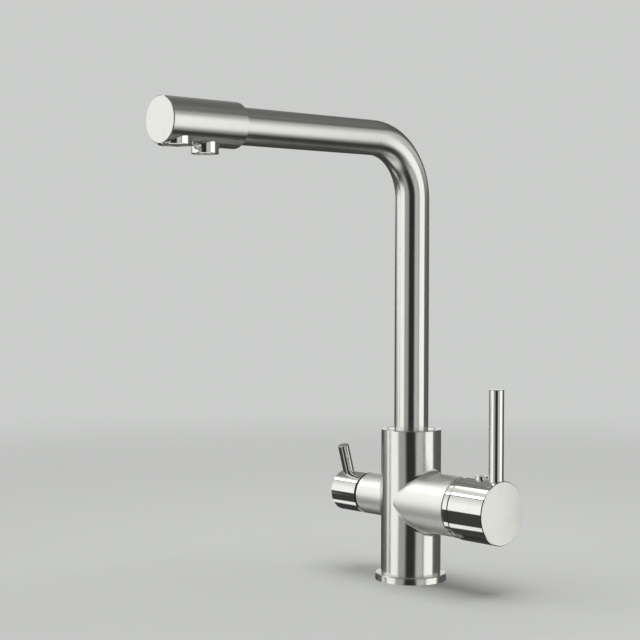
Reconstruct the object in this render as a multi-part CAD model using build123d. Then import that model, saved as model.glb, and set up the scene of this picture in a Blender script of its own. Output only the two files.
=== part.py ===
"""Three-way kitchen mixer tap: column, swivelling spout, side mixer lever and filtered-water knob.

Millimetres, +Z up. The origin is the centre of the base flange's underside, on the deck.
The spout points to -Y, the mixer lever is on the +X side and the filter knob on the -X side.
"""

from build123d import *
from math import cos, radians, sin, sqrt
import os

# Fits: radial gaps unless the name says otherwise
running_gap = 0.05
thread_gap = 0.05
seat_gap = 0.1
face_film = 0.02
part_clearance = 0.3
seal_corner_share = 0.25
cut_margin = 1.0

# Column and base flange
column_r = 21.0
column_top_z = 106.0
column_edge = 0.3
flange_r = 25.0
flange_h = 4.8
flange_floor = 1.2
flange_opening_r = 17.0
flange_edge = 0.5
base_seal_r_in = 22.2
base_seal_width = 1.6
base_seal_h = 1.1
hose_chamber_top_z = 26.0

# Inlet block screwed into the column, with M10 x 1 ports modelled at their thread's core
inlet_block_h = 16.0
port_r = 4.5
port_depth = 12.0
port_circle_r = 10.5
block_seal_width = 1.4
block_seal_depth = 1.0
hot_angle = -45.0
cold_angle = 45.0
filtered_angle = -135.0
passage_r = 3.0
cross_passage_r = 2.7
passage_overrun = 1.0
mixed_passage_x = 9.5

# Fixing stud, M8, and what hangs on it under the deck
stud_r = 4.0
stud_circle_r = 12.5
stud_angle = 135.0
stud_depth = 14.0
stud_end_gap = 0.5
stud_bottom_z = -62.0
deck_gap = 32.0
pad_r = 24.0
pad_t = 3.0
clamp_t = 2.0
slot_half_width = 16.0
lobe_edge = 5.8
nut_af = 13.0
nut_h = 8.0

# Swivel at the column's top
gland_r = 17.2
gland_h = 9.0
gland_edge = 0.5
gland_seat_edge = 0.4
washer_t = 1.0
upper_washer_width = 3.3
collar_r = 15.6
collar_h = 3.9
collar_ledge = 2.6
spigot_length = 16.6
spigot_bore_r = 8.5
spigot_chamber_gap = 1.5
tube_plug_length = 11.0
seal_groove_depth = 1.6
seal_groove_width = 2.6
spigot_seal_inset = 2.0
spigot_seal_pitch = 7.5

# Spout
tube_r = 12.0
tube_wall = 1.2
bend_r = 40.0
spout_z = 308.0
inner_tube_r = 3.0
inner_tube_wall = 1.0
inner_tube_foot_z = 69.0
inner_tube_sump = 5.8
inner_seal_rise = 1.2
inner_seal_width = 2.0
inner_seal_depth = 1.5

# Spout head; reaches are measured from the column's axis towards -Y
shoulder_back_reach = 158.3
shoulder_length = 1.2
shoulder_lip = 0.45
shoulder_bulge = 0.2
collar_spigot_length = 3.5
tube_end_overlap = 4.2
head_r = 14.75
head_wall = 1.5
head_face_t = 2.0
head_edge = 0.5
manifold_setback = 1.5
manifold_seal_inset = 1.5
manifold_seal_width = 2.0
manifold_seal_depth = 1.4
tube_socket_depth = 6.0
mixed_slot_width = 10.0
mixed_slot_h = 4.5
mixed_slot_rise = 5.8
mixed_drop_r = 4.0

# Main outlet with its aerator
aerator_r = 11.0
aerator_face_setback = 11.8
aerator_mouth_drop = 0.25
aerator_sleeve_h = 8.8
aerator_neck_r = 8.9
aerator_neck_h = 6.5
aerator_insert_r = 9.5
aerator_insert_h = 4.7
aerator_mouth_bore = 6.5
aerator_hole_r = 0.75
aerator_hole_pitch = 2.2
aerator_rings = 3
outlet_edge = 0.4

# Filtered outlet with its flow straightener
nozzle_r = 8.75
nozzle_setback = 18.0
outlet_spacing = 22.7
nozzle_mouth_drop = 4.35
nozzle_sleeve_h = 11.2
nozzle_neck_r = 5.6
nozzle_neck_h = 5.5
nozzle_well_h = 3.5
nozzle_insert_r = 6.7
nozzle_insert_h = 6.0
nozzle_mouth_bore = 8.0
nozzle_hole_r = 1.2
nozzle_hole_circle_r = 4.0
nozzle_hole_count = 6
outlet_seal_t = 1.0
outlet_seal_width = 2.0

# Mixer branch on the +X side
branch_z = 56.0
branch_blend_r = 3.0
stub_edge = 0.4
main_stub_r = 20.8
main_stub_x = 49.0
cartridge_seat_x = 19.0
cartridge_r = 17.5
cartridge_base_t = 5.0
cartridge_wall = 1.3
cartridge_rim_h = 2.0
cartridge_port_r = 2.8
hot_cold_half_pitch = 6.5
hot_cold_rise = 5.5
mixed_port_drop = 5.6
port_seal_land = 0.4
port_seal_width = 1.4
port_seal_depth = 1.0
disc_t = 3.0
fixed_disc_r = 14.5
moving_disc_r = 12.4
disc_pocket_depth = 1.6
disc_pocket_half = 5.4
disc_pocket_top = 1.6
disc_pocket_foot = 9.0
coupler_t = 6.0
coupler_width = 18.0
ball_r = 3.1
ball_gap = 0.3
ball_arm = 8.8
lever_shank_r = 2.2
lever_block = 7.0
lever_block_start = 4.6
lever_tip_x = 68.0
carrier_slot_half = 7.4
carrier_leg_half = 8.0
pivot_pin_r = 2.0
pivot_pin_half = 11.8
carrier_shoulder_x = 40.6
carrier_seal_setback = 3.2
carrier_seal_width = 2.2
carrier_seal_depth = 1.4
carrier_neck_r = 12.6
housing_neck_r = 14.0
housing_neck_length = 4.5
nut_thread_r = 18.15
nut_thread_length = 5.0
nut_thread_runout = 0.5
nut_head_r = 16.0
nut_head_length = 2.5
nut_castle_width = 5.0
nut_castle_depth = 1.2
nut_castle_count = 3
trim_ring_step = 0.6
trim_ring_length = 5.6
trim_ring_lip_t = 1.2
trim_ring_edge = 0.8
trim_ring_back_edge = 0.3
trim_groove_width = 0.7
trim_groove_depth = 1.0
trim_ring_bore_r = 18.55
pivot_inset = 12.0
dome_r = 20.5
dome_t = 1.2
dome_opening_r = 12.2

# Mixer handle
handle_r = 21.6
handle_wall = 1.2
handle_gap = 0.6
handle_rim_edge = 0.25
handle_rim_bevel = 0.5
handle_face_x = 85.4
handle_cavity_x = 72.0
handle_edge = 0.5
hub_r = 8.0
hub_start_x = 63.7
lever_pin_r = 5.0
lever_pin_x = 79.4
lever_pin_rise = 60.7
lever_pin_edge = 0.35
lever_pin_thread_r = 3.5
lever_pin_thread_depth = 9.0
thread_end_gap = 0.5
pin_seat_depth = 1.2
screw_x = 66.2
screw_head_r = 4.3
screw_head_rise = 1.8
screw_head_sink = 1.0
screw_head_edge = 0.3
screw_shank_r = 2.5
screw_boss_r = 5.2
screw_hex_af = 4.0
screw_hex_depth = 2.2

# Filter branch on the -X side; distances are measured from the column's axis towards -X
filter_stub_r = 14.6
filter_stub_x = 41.5
valve_seat_x = 13.0
valve_bore_r = 9.5
valve_groove_r = 12.0
valve_groove_start = 17.5
valve_groove_width = 7.5
filter_exit_drop = 3.2
filter_exit_r = 1.8
filter_exit_overlap = 3.0
valve_seat_seal_t = 2.0
valve_seat_seal_bore_r = 6.0
valve_disc_r = 7.5
valve_disc_t = 3.0
valve_hole_r = 1.7
valve_hole_offset = 4.0
valve_cage_r = 8.9
valve_cage_wall = 1.2
valve_cage_end = 26.0
valve_thread_start = 27.0
valve_window_h = 9.0
valve_flange_af = 22.0
valve_flange_t = 3.5
spindle_r = 4.0
spindle_foot_t = 2.2
spindle_notch_r = 2.6
spindle_notch_offset = 5.2
spindle_seal_x = 33.0
spindle_seal_width = 2.2
spindle_seal_depth = 1.1
spindle_clip_r = 6.0
spindle_clip_t = 0.8
spindle_clip_depth = 0.75
spindle_clip_mouth = 2.4
spindle_end_x = 57.0

# Filter knob, stored at the angle that its short pin leans forward
knob_gap = 1.5
knob_face_x = 67.7
knob_wall = 1.4
knob_edge = 0.5
knob_rim_edge = 0.3
knob_cavity_x = 55.0
knob_hub_start_x = 47.5
knob_hub_r = 6.5
knob_lean = 16.0
filter_pin_r = 3.95
filter_pin_x = 60.0
filter_pin_rise = 20.8
filter_pin_thread_r = 2.5
filter_pin_thread_depth = 6.0
filter_pin_edge = 0.3
knob_screw_x = 51.0
knob_screw_r = 2.0
knob_screw_length = 9.0
knob_boss_r = 3.4
knob_screw_hex_af = 2.0
knob_screw_hex_depth = 1.6

# Places worked out from the sizes above
column_foot_z = flange_floor
block_top_z = hose_chamber_top_z + inlet_block_h
gland_floor_z = column_top_z - gland_h
collar_top_z = gland_floor_z - washer_t - running_gap
collar_foot_z = collar_top_z - collar_h
spigot_r = collar_r - collar_ledge
ledge_z = collar_foot_z - running_gap - washer_t
spigot_foot_z = collar_foot_z - spigot_length
chamber_floor_z = spigot_foot_z - spigot_chamber_gap
inner_seal_z = inner_tube_foot_z + inner_seal_rise
tube_bore_r = tube_r - tube_wall
tube_end_reach = shoulder_back_reach + tube_end_overlap
head_back_reach = shoulder_back_reach + shoulder_length
spigot_end_reach = head_back_reach + collar_spigot_length
manifold_back_reach = spigot_end_reach + manifold_setback
nozzle_reach = manifold_back_reach + nozzle_setback
aerator_reach = nozzle_reach + outlet_spacing
head_face_reach = aerator_reach + aerator_face_setback
head_bore_r = head_r - head_wall
head_bottom_z = spout_z - head_r
manifold_r = head_bore_r - seat_gap
manifold_face_reach = head_face_reach - head_face_t - 2 * seat_gap
trim_ring_r = handle_r - trim_ring_step
ring_face_x = main_stub_x + trim_ring_length
pivot_x = ring_face_x - pivot_inset
handle_back_x = ring_face_x + handle_gap
handle_bore_r = handle_r - handle_wall
fixed_disc_x = cartridge_seat_x + cartridge_base_t
moving_disc_x = fixed_disc_x + disc_t + face_film
coupler_x = moving_disc_x + disc_t
carrier_x = coupler_x + coupler_t + part_clearance
nut_seat_x = main_stub_x - nut_thread_length
housing_bore_r = cartridge_r - cartridge_wall
carrier_r = housing_bore_r - running_gap
housing_end_x = nut_seat_x + housing_neck_length
ball_x = pivot_x - ball_arm
knob_back_x = filter_stub_x + knob_gap
knob_bore_r = filter_stub_r - knob_wall

column_axis = Axis((0, 0, 0), (0, 0, 1))
main_axis = Axis((0, 0, branch_z), (1, 0, 0))
filter_axis = Axis((0, 0, branch_z), (-1, 0, 0))
head_axis = Axis((0, 0, spout_z), (0, -1, 0))


def beside(axis, x=0.0, y=0.0, z=0.0):
    """The same axis moved sideways by an offset."""
    return Axis(axis.position + Vector(x, y, z), axis.direction)


def section_plane(axis):
    """A plane whose local X runs along the axis and whose local Y is the radius."""
    upright = axis.is_parallel(Axis((0, 0, 0), (0, 0, 1)))
    normal = Vector(0, 1, 0) if upright else Vector(0, 0, 1)
    return Plane(origin=axis.position, x_dir=axis.direction, z_dir=normal)


def turned_edges(edges, axis):
    """A solid of revolution from a closed outline of edges in (distance, radius)."""
    return revolve(section_plane(axis) * make_face(edges), axis=axis, revolution_arc=360)


def turned(profile, axis):
    """A solid of revolution from (distance along the axis, radius) points."""
    return turned_edges(Polyline(*profile, close=True).edges(), axis)


def bar(r, start, end, axis):
    """A round bar along an axis."""
    return turned([(start, 0), (end, 0), (end, r), (start, r)], axis)


def ring(r_out, r_in, start, end, axis):
    """A plain ring or sleeve along an axis."""
    return turned([(start, r_in), (end, r_in), (end, r_out), (start, r_out)], axis)


def fitted_seal(r_out, r_in, start, end, axis):
    """A rubber ring as it sits when squeezed: flat-sided with rounded-off corners."""
    corner = seal_corner_share * min(r_out - r_in, end - start)
    profile = [
        (start + corner, r_in),
        (end - corner, r_in),
        (end, r_in + corner),
        (end, r_out - corner),
        (end - corner, r_out),
        (start + corner, r_out),
        (start, r_out - corner),
        (start, r_in + corner),
    ]
    return turned(profile, axis)


def block(x0, x1, y0, y1, z0, z1):
    """A box between two corners."""
    middle = Pos((x0 + x1) / 2, (y0 + y1) / 2, (z0 + z1) / 2)
    return middle * Box(x1 - x0, y1 - y0, z1 - z0)


def hexagon(across_flats, start, end, axis):
    """A hexagonal bar along an axis."""
    side = Plane(origin=axis.position + axis.direction * start, z_dir=axis.direction)
    outline = RegularPolygon(radius=across_flats / 2, side_count=6, major_radius=False)
    return extrude(side * outline, amount=end - start)


def on_circle(radius, angle):
    """The X and Y of a point on a circle round an upright axis."""
    return radius * cos(radians(angle)), radius * sin(radians(angle))


inlet_places = {
    "hot": on_circle(port_circle_r, hot_angle),
    "cold": on_circle(port_circle_r, cold_angle),
    "filtered": on_circle(port_circle_r, filtered_angle),
}
stud_place = on_circle(stud_circle_r, stud_angle)
cartridge_ports = {
    "hot": (-hot_cold_half_pitch, hot_cold_rise),
    "cold": (hot_cold_half_pitch, hot_cold_rise),
    "mixed": (0.0, -mixed_port_drop),
}


def base_parts():
    """The flange that the column stands in, and the rubber ring under it."""
    inner = column_r + running_gap
    flange = turned(
        [
            (0, flange_opening_r),
            (flange_floor, flange_opening_r),
            (flange_floor, inner),
            (flange_h, inner),
            (flange_h, flange_r - flange_edge),
            (flange_h - flange_edge, flange_r),
            (0, flange_r),
        ],
        column_axis,
    )
    seal_r_out = base_seal_r_in + base_seal_width
    flange -= ring(seal_r_out + seat_gap, base_seal_r_in - seat_gap, 0, base_seal_h, column_axis)
    seal = ring(seal_r_out, base_seal_r_in, 0, base_seal_h, column_axis)
    return {"base_flange": flange, "base_seal": seal}


def bevelled_bar(r, start, end, edge, axis):
    """A bar whose far end has a chamfered edge."""
    return turned(
        [(start, 0), (start, r), (end - edge, r), (end, r - edge), (end, 0)],
        axis,
    )


def column_outside():
    """The column with its two branches blended into it, still solid."""
    column = bevelled_bar(column_r, column_foot_z, column_top_z, column_edge, column_axis)
    column += bevelled_bar(main_stub_r, 0, main_stub_x, stub_edge, main_axis)
    column += bevelled_bar(filter_stub_r, 0, filter_stub_x, stub_edge, filter_axis)
    creases = column.edges().filter_by(GeomType.BSPLINE)
    return column.fillet(branch_blend_r, creases)


def column_swivel_cuts():
    """The stepped bore at the top, where the spout's foot turns."""
    steps = [
        (gland_r + thread_gap, gland_floor_z, column_top_z),
        (collar_r + part_clearance, ledge_z, gland_floor_z),
        (spigot_r + running_gap, chamber_floor_z, ledge_z),
        (inner_tube_r + running_gap, inner_tube_foot_z - inner_tube_sump, chamber_floor_z),
    ]
    cuts = [bar(r, z0, z1, column_axis) for r, z0, z1 in steps]
    seat_r = gland_r + thread_gap
    bevel_z = column_top_z - gland_seat_edge
    cuts.append(
        turned(
            [
                (bevel_z, 0),
                (bevel_z, seat_r),
                (column_top_z, seat_r + gland_seat_edge),
                (column_top_z, 0),
            ],
            column_axis,
        )
    )
    groove_r = inner_tube_r + inner_seal_depth
    cuts.append(bar(groove_r, inner_seal_z, inner_seal_z + inner_seal_width, column_axis))
    return cuts


def column_cartridge_cuts():
    """The mixer cartridge's bore and the drillings that feed it."""
    cuts = [
        bar(cartridge_r + seat_gap, cartridge_seat_x, nut_seat_x, main_axis),
        bar(nut_thread_r + thread_gap, nut_seat_x - nut_thread_runout, main_stub_x, main_axis),
    ]
    for name in ("hot", "cold"):
        x, y = inlet_places[name]
        port_y, rise = cartridge_ports[name]
        cuts.append(bar(passage_r, block_top_z, branch_z + rise, beside(column_axis, x=x, y=y)))
        cuts.append(bar(cartridge_port_r, x, cartridge_seat_x, beside(main_axis, y=port_y, z=rise)))
    port_y, rise = cartridge_ports["mixed"]
    across = beside(main_axis, y=port_y, z=rise)
    upward = beside(column_axis, x=mixed_passage_x)
    cuts.append(bar(cartridge_port_r, mixed_passage_x, cartridge_seat_x, across))
    cuts.append(bar(passage_r, branch_z + rise - passage_overrun, chamber_floor_z, upward))
    return cuts


def column_filter_cuts():
    """The filter valve's bore, and its ways in from the inlet and out to the inner tube."""
    x, y = inlet_places["filtered"]
    groove_end = valve_groove_start + valve_groove_width
    cross_drilling = Axis((x, 0, branch_z), (0, 1, 0))
    exit_drilling = Axis((0, 0, inner_tube_foot_z - filter_exit_drop), (-1, 0, 0))
    return [
        bar(valve_bore_r, valve_seat_x, filter_stub_x, filter_axis),
        bar(valve_groove_r, valve_groove_start, groove_end, filter_axis),
        bar(passage_r, block_top_z, branch_z + passage_overrun, beside(column_axis, x=x, y=y)),
        bar(cross_passage_r, y - passage_overrun, passage_overrun, cross_drilling),
        bar(passage_r, -x - passage_overrun, valve_seat_x, filter_axis),
        bar(filter_exit_r, 0, valve_groove_start + filter_exit_overlap, exit_drilling),
    ]


def column_parts():
    """The column casting with everything that is bored in it."""
    column = column_outside()
    cuts = column_swivel_cuts() + column_cartridge_cuts() + column_filter_cuts()
    cuts.append(bar(flange_opening_r, column_foot_z, block_top_z, column_axis))
    for cut in cuts:
        column -= cut
    return {"body_column": column}


def inlet_block_parts():
    """The brass block in the column's foot: three inlet ports, the stud's hole and its face seals."""
    roof = hose_chamber_top_z
    inlet_block = bar(flange_opening_r - thread_gap, roof, block_top_z, column_axis)
    seal_foot_z = block_top_z - block_seal_depth
    seal_r_in = passage_r + port_seal_land
    seal_r_out = seal_r_in + block_seal_width
    seals = []
    for x, y in inlet_places.values():
        way = beside(column_axis, x=x, y=y)
        inlet_block -= bar(port_r, roof, roof + port_depth, way)
        inlet_block -= bar(passage_r, roof, block_top_z, way)
        inlet_block -= ring(seal_r_out, seal_r_in, seal_foot_z, block_top_z, way)
        seals.append(fitted_seal(seal_r_out, seal_r_in, seal_foot_z, block_top_z, way))
    x, y = stud_place
    inlet_block -= bar(stud_r + thread_gap, roof, roof + stud_depth, beside(column_axis, x=x, y=y))
    return {"inlet_block": inlet_block, "inlet_block_seals": Compound(children=seals)}


def swivel_parts():
    """The gland ring, the two glide washers and the inner tube's seal, all fixed in the column."""
    bore_r = tube_r + running_gap
    gland = turned(
        [
            (gland_floor_z, bore_r),
            (column_top_z - gland_edge, bore_r),
            (column_top_z, bore_r + gland_edge),
            (column_top_z, gland_r - gland_edge),
            (column_top_z - gland_edge, gland_r),
            (gland_floor_z, gland_r),
        ],
        column_axis,
    )
    top_bore_r = collar_r - upper_washer_width
    top_washer = ring(collar_r, top_bore_r, gland_floor_z - washer_t, gland_floor_z, column_axis)
    low_bore_r = spigot_r + part_clearance
    low_washer = ring(collar_r, low_bore_r, ledge_z, ledge_z + washer_t, column_axis)
    seal_r_in = inner_tube_r + running_gap
    seal_r_out = inner_tube_r + inner_seal_depth
    seal_top_z = inner_seal_z + inner_seal_width
    tube_seal = fitted_seal(seal_r_out, seal_r_in, inner_seal_z, seal_top_z, column_axis)
    return {
        "gland_ring": gland,
        "upper_glide_washer": top_washer,
        "lower_glide_washer": low_washer,
        "inner_tube_seal": tube_seal,
    }


def spigot_groove_spans():
    """The start and end height of each seal groove on the spout's foot."""
    low = spigot_foot_z + spigot_seal_inset
    return [(z, z + seal_groove_width) for z in (low, low + spigot_seal_pitch)]


def spout_path(start_z, end_reach):
    """The spout's centreline: up, round the bend and out."""
    corner = (0, 0, spout_z)
    return FilletPolyline((0, 0, start_z), corner, (0, -end_reach, spout_z), radius=bend_r)


def bent_bar(r, start_z, end_reach):
    """A round bar swept along the spout's centreline."""
    section = Plane(origin=(0, 0, start_z), z_dir=(0, 0, 1)) * Circle(r)
    return sweep(section, path=spout_path(start_z, end_reach))


def bent_tube(r_out, r_in, start_z, end_reach):
    """A round tube swept along the spout's centreline."""
    return bent_bar(r_out, start_z, end_reach) - bent_bar(r_in, start_z, end_reach)


def spout_parts():
    """The spout tube, its turned foot with two seals, and the filtered-water tube inside it."""
    tube = bent_tube(tube_r, tube_bore_r, collar_top_z, tube_end_reach)
    plug_r = tube_bore_r - thread_gap
    foot = turned(
        [
            (spigot_foot_z, spigot_bore_r),
            (spigot_foot_z, spigot_r),
            (collar_foot_z, spigot_r),
            (collar_foot_z, collar_r),
            (collar_top_z, collar_r),
            (collar_top_z, plug_r),
            (collar_top_z + tube_plug_length, plug_r),
            (collar_top_z + tube_plug_length, spigot_bore_r),
        ],
        column_axis,
    )
    groove_r = spigot_r - seal_groove_depth
    seals = []
    for z0, z1 in spigot_groove_spans():
        foot -= ring(spigot_r + cut_margin, groove_r, z0, z1, column_axis)
        seals.append(fitted_seal(spigot_r + running_gap / 2, groove_r, z0, z1, column_axis))
    tube_inside_r = inner_tube_r - inner_tube_wall
    inner_end = manifold_back_reach + tube_socket_depth - seat_gap
    inner = bent_tube(inner_tube_r, tube_inside_r, inner_tube_foot_z, inner_end)
    return {
        "spout_tube": tube,
        "spout_foot": foot,
        "spout_foot_seals": Compound(children=seals),
        "inner_tube": inner,
    }


def outlet_axis(reach):
    """A vertical axis through an outlet, measured upwards from the head's lowest line."""
    return Axis((0, -reach, head_bottom_z), (0, 0, 1))


def head_shell_parts():
    """The cup-shaped head and the round-shouldered collar that joins it to the tube."""
    inner_face = head_face_reach - head_face_t
    shell = turned(
        [
            (head_back_reach, head_bore_r),
            (head_back_reach, head_r),
            (head_face_reach - head_edge, head_r),
            (head_face_reach, head_r - head_edge),
            (head_face_reach, 0),
            (inner_face, 0),
            (inner_face, head_bore_r),
        ],
        head_axis,
    )
    shell -= bar(aerator_r + running_gap, -cut_margin, head_r, outlet_axis(aerator_reach))
    shell -= bar(nozzle_r + running_gap, -cut_margin, head_r, outlet_axis(nozzle_reach))
    bore_r = tube_r + running_gap
    lip_r = tube_r + shoulder_lip
    collar_spigot_r = head_bore_r - running_gap
    middle = (
        (shoulder_back_reach + head_back_reach) / 2 - shoulder_bulge,
        (lip_r + head_r) / 2 + shoulder_bulge,
    )
    collar = turned_edges(
        [
            Line((shoulder_back_reach, bore_r), (shoulder_back_reach, lip_r)),
            ThreePointArc((shoulder_back_reach, lip_r), middle, (head_back_reach, head_r)),
            Line((head_back_reach, head_r), (head_back_reach, collar_spigot_r)),
            Line((head_back_reach, collar_spigot_r), (spigot_end_reach, collar_spigot_r)),
            Line((spigot_end_reach, collar_spigot_r), (spigot_end_reach, bore_r)),
            Line((spigot_end_reach, bore_r), (shoulder_back_reach, bore_r)),
        ],
        head_axis,
    )
    return {"head_shell": shell, "head_collar": collar}


def manifold_parts():
    """The plastic block inside the head that keeps mixed and filtered water apart."""
    block_part = bar(manifold_r, manifold_back_reach, manifold_face_reach, head_axis)
    groove_start = manifold_back_reach + manifold_seal_inset
    groove_end = groove_start + manifold_seal_width
    groove_r = manifold_r - manifold_seal_depth
    block_part -= ring(manifold_r + cut_margin, groove_r, groove_start, groove_end, head_axis)
    seal = fitted_seal(head_bore_r, groove_r, groove_start, groove_end, head_axis)

    main = outlet_axis(aerator_reach)
    sleeve_top = aerator_sleeve_h - aerator_mouth_drop + seat_gap
    neck_top = sleeve_top + aerator_neck_h
    block_part -= bar(aerator_r + seat_gap, 0, sleeve_top, main)
    block_part -= bar(aerator_neck_r + thread_gap, 0, neck_top, main)

    filtered = outlet_axis(nozzle_reach)
    nozzle_top = nozzle_sleeve_h - nozzle_mouth_drop + seat_gap
    well_top = nozzle_top + nozzle_neck_h + nozzle_well_h
    block_part -= bar(nozzle_r + seat_gap, 0, nozzle_top, filtered)
    block_part -= bar(nozzle_neck_r + thread_gap, 0, well_top, filtered)

    socket_end = manifold_back_reach + tube_socket_depth
    block_part -= bar(inner_tube_r + running_gap, manifold_back_reach, socket_end, head_axis)
    block_part -= bar(inner_tube_r - inner_tube_wall, socket_end, nozzle_reach, head_axis)

    slot_z = spout_z + mixed_slot_rise
    half = mixed_slot_width / 2
    slot_top_z = slot_z + mixed_slot_h
    block_part -= block(-half, half, -aerator_reach, -manifold_back_reach, slot_z, slot_top_z)
    block_part -= bar(mixed_drop_r, 0, slot_top_z - head_bottom_z, main)
    return {"head_manifold": block_part, "manifold_seal": seal}


def drilled_disc(r, start, end, axis, holes, hole_r):
    """A round insert with a pattern of through holes at (x, y) places."""
    disc = bar(r, start, end, axis)
    return disc - [bar(hole_r, start, end, beside(axis, x=x, y=y)) for x, y in holes]


def circle_places(radius, count):
    """Places evenly spaced on a circle."""
    return [on_circle(radius, 360 * k / count) for k in range(count)]


def hole_rings(pitch, rings):
    """Places of a centre hole and of rings of 6, 12, 18 ... holes around it."""
    places = [(0.0, 0.0)]
    for n in range(1, rings + 1):
        places += circle_places(pitch * n, 6 * n)
    return places


def outlet_body(r, sleeve_h, neck_r, neck_h, bore_r, bore_h, way_r, drop, axis):
    """A polished outlet: sleeve below, threaded neck above, bored for its insert."""
    mouth = -drop
    shoulder = mouth + sleeve_h
    top = shoulder + neck_h
    return turned(
        [
            (mouth, bore_r),
            (mouth, r - outlet_edge),
            (mouth + outlet_edge, r),
            (shoulder, r),
            (shoulder, neck_r),
            (top, neck_r),
            (top, way_r),
            (mouth + bore_h, way_r),
            (mouth + bore_h, bore_r),
        ],
        axis,
    )


def outlet_parts():
    """Both outlets under the head, each with its insert and seal."""
    main = outlet_axis(aerator_reach)
    bore_r = aerator_insert_r + seat_gap
    way_r = bore_r - outlet_seal_width
    housing = outlet_body(
        aerator_r, aerator_sleeve_h, aerator_neck_r, aerator_neck_h,
        bore_r, aerator_mouth_bore, way_r, aerator_mouth_drop, main,
    )
    insert_top = aerator_mouth_bore - aerator_mouth_drop - outlet_seal_t
    places = hole_rings(aerator_hole_pitch, aerator_rings)
    insert = drilled_disc(
        aerator_insert_r, insert_top - aerator_insert_h, insert_top, main, places, aerator_hole_r
    )
    seal = fitted_seal(aerator_insert_r, way_r, insert_top, insert_top + outlet_seal_t, main)

    filtered = outlet_axis(nozzle_reach)
    nozzle_bore_r = nozzle_insert_r + seat_gap
    nozzle_way_r = nozzle_bore_r - outlet_seal_width
    nozzle = outlet_body(
        nozzle_r, nozzle_sleeve_h, nozzle_neck_r, nozzle_neck_h,
        nozzle_bore_r, nozzle_mouth_bore, nozzle_way_r, nozzle_mouth_drop, filtered,
    )
    top = nozzle_mouth_bore - nozzle_mouth_drop - outlet_seal_t
    places = [(0.0, 0.0)] + circle_places(nozzle_hole_circle_r, nozzle_hole_count)
    nozzle_insert = drilled_disc(
        nozzle_insert_r, top - nozzle_insert_h, top, filtered, places, nozzle_hole_r
    )
    nozzle_seal = fitted_seal(nozzle_insert_r, nozzle_way_r, top, top + outlet_seal_t, filtered)
    return {
        "aerator_housing": housing,
        "aerator_insert": insert,
        "aerator_seal": seal,
        "filter_nozzle": nozzle,
        "filter_nozzle_insert": nozzle_insert,
        "filter_nozzle_seal": nozzle_seal,
    }


def cartridge_port_axes():
    """The axes of the hot, cold and mixed ways through the cartridge's foot."""
    return [beside(main_axis, y=y, z=rise) for y, rise in cartridge_ports.values()]


def cartridge_fixed_parts():
    """The still pieces of the mixer cartridge: foot, port seals, lower disc and housing."""
    foot = bar(cartridge_r, cartridge_seat_x, fixed_disc_x, main_axis)
    rim_r = fixed_disc_r + seat_gap
    rim_end = fixed_disc_x + cartridge_rim_h
    foot += ring(housing_bore_r - seat_gap, rim_r, fixed_disc_x, rim_end, main_axis)
    disc = bar(fixed_disc_r, fixed_disc_x, fixed_disc_x + disc_t, main_axis)
    seals = []
    seal_end = cartridge_seat_x + port_seal_depth
    seal_r_in = cartridge_port_r + port_seal_land
    seal_r_out = seal_r_in + port_seal_width
    for axis in cartridge_port_axes():
        foot -= bar(cartridge_port_r, cartridge_seat_x, fixed_disc_x, axis)
        foot -= ring(seal_r_out, seal_r_in, cartridge_seat_x, seal_end, axis)
        disc -= bar(cartridge_port_r, fixed_disc_x, fixed_disc_x + disc_t, axis)
        seals.append(fitted_seal(seal_r_out, seal_r_in, cartridge_seat_x, seal_end, axis))
    neck_bore_r = carrier_neck_r + running_gap
    shoulder_x = carrier_shoulder_x + seat_gap
    housing = turned(
        [
            (fixed_disc_x, housing_bore_r),
            (shoulder_x, housing_bore_r),
            (shoulder_x, neck_bore_r),
            (housing_end_x, neck_bore_r),
            (housing_end_x, housing_neck_r),
            (nut_seat_x, housing_neck_r),
            (nut_seat_x, cartridge_r),
            (fixed_disc_x, cartridge_r),
        ],
        main_axis,
    )
    return {
        "cartridge_foot": foot,
        "cartridge_port_seals": Compound(children=seals),
        "cartridge_fixed_disc": disc,
        "cartridge_housing": housing,
    }


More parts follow.
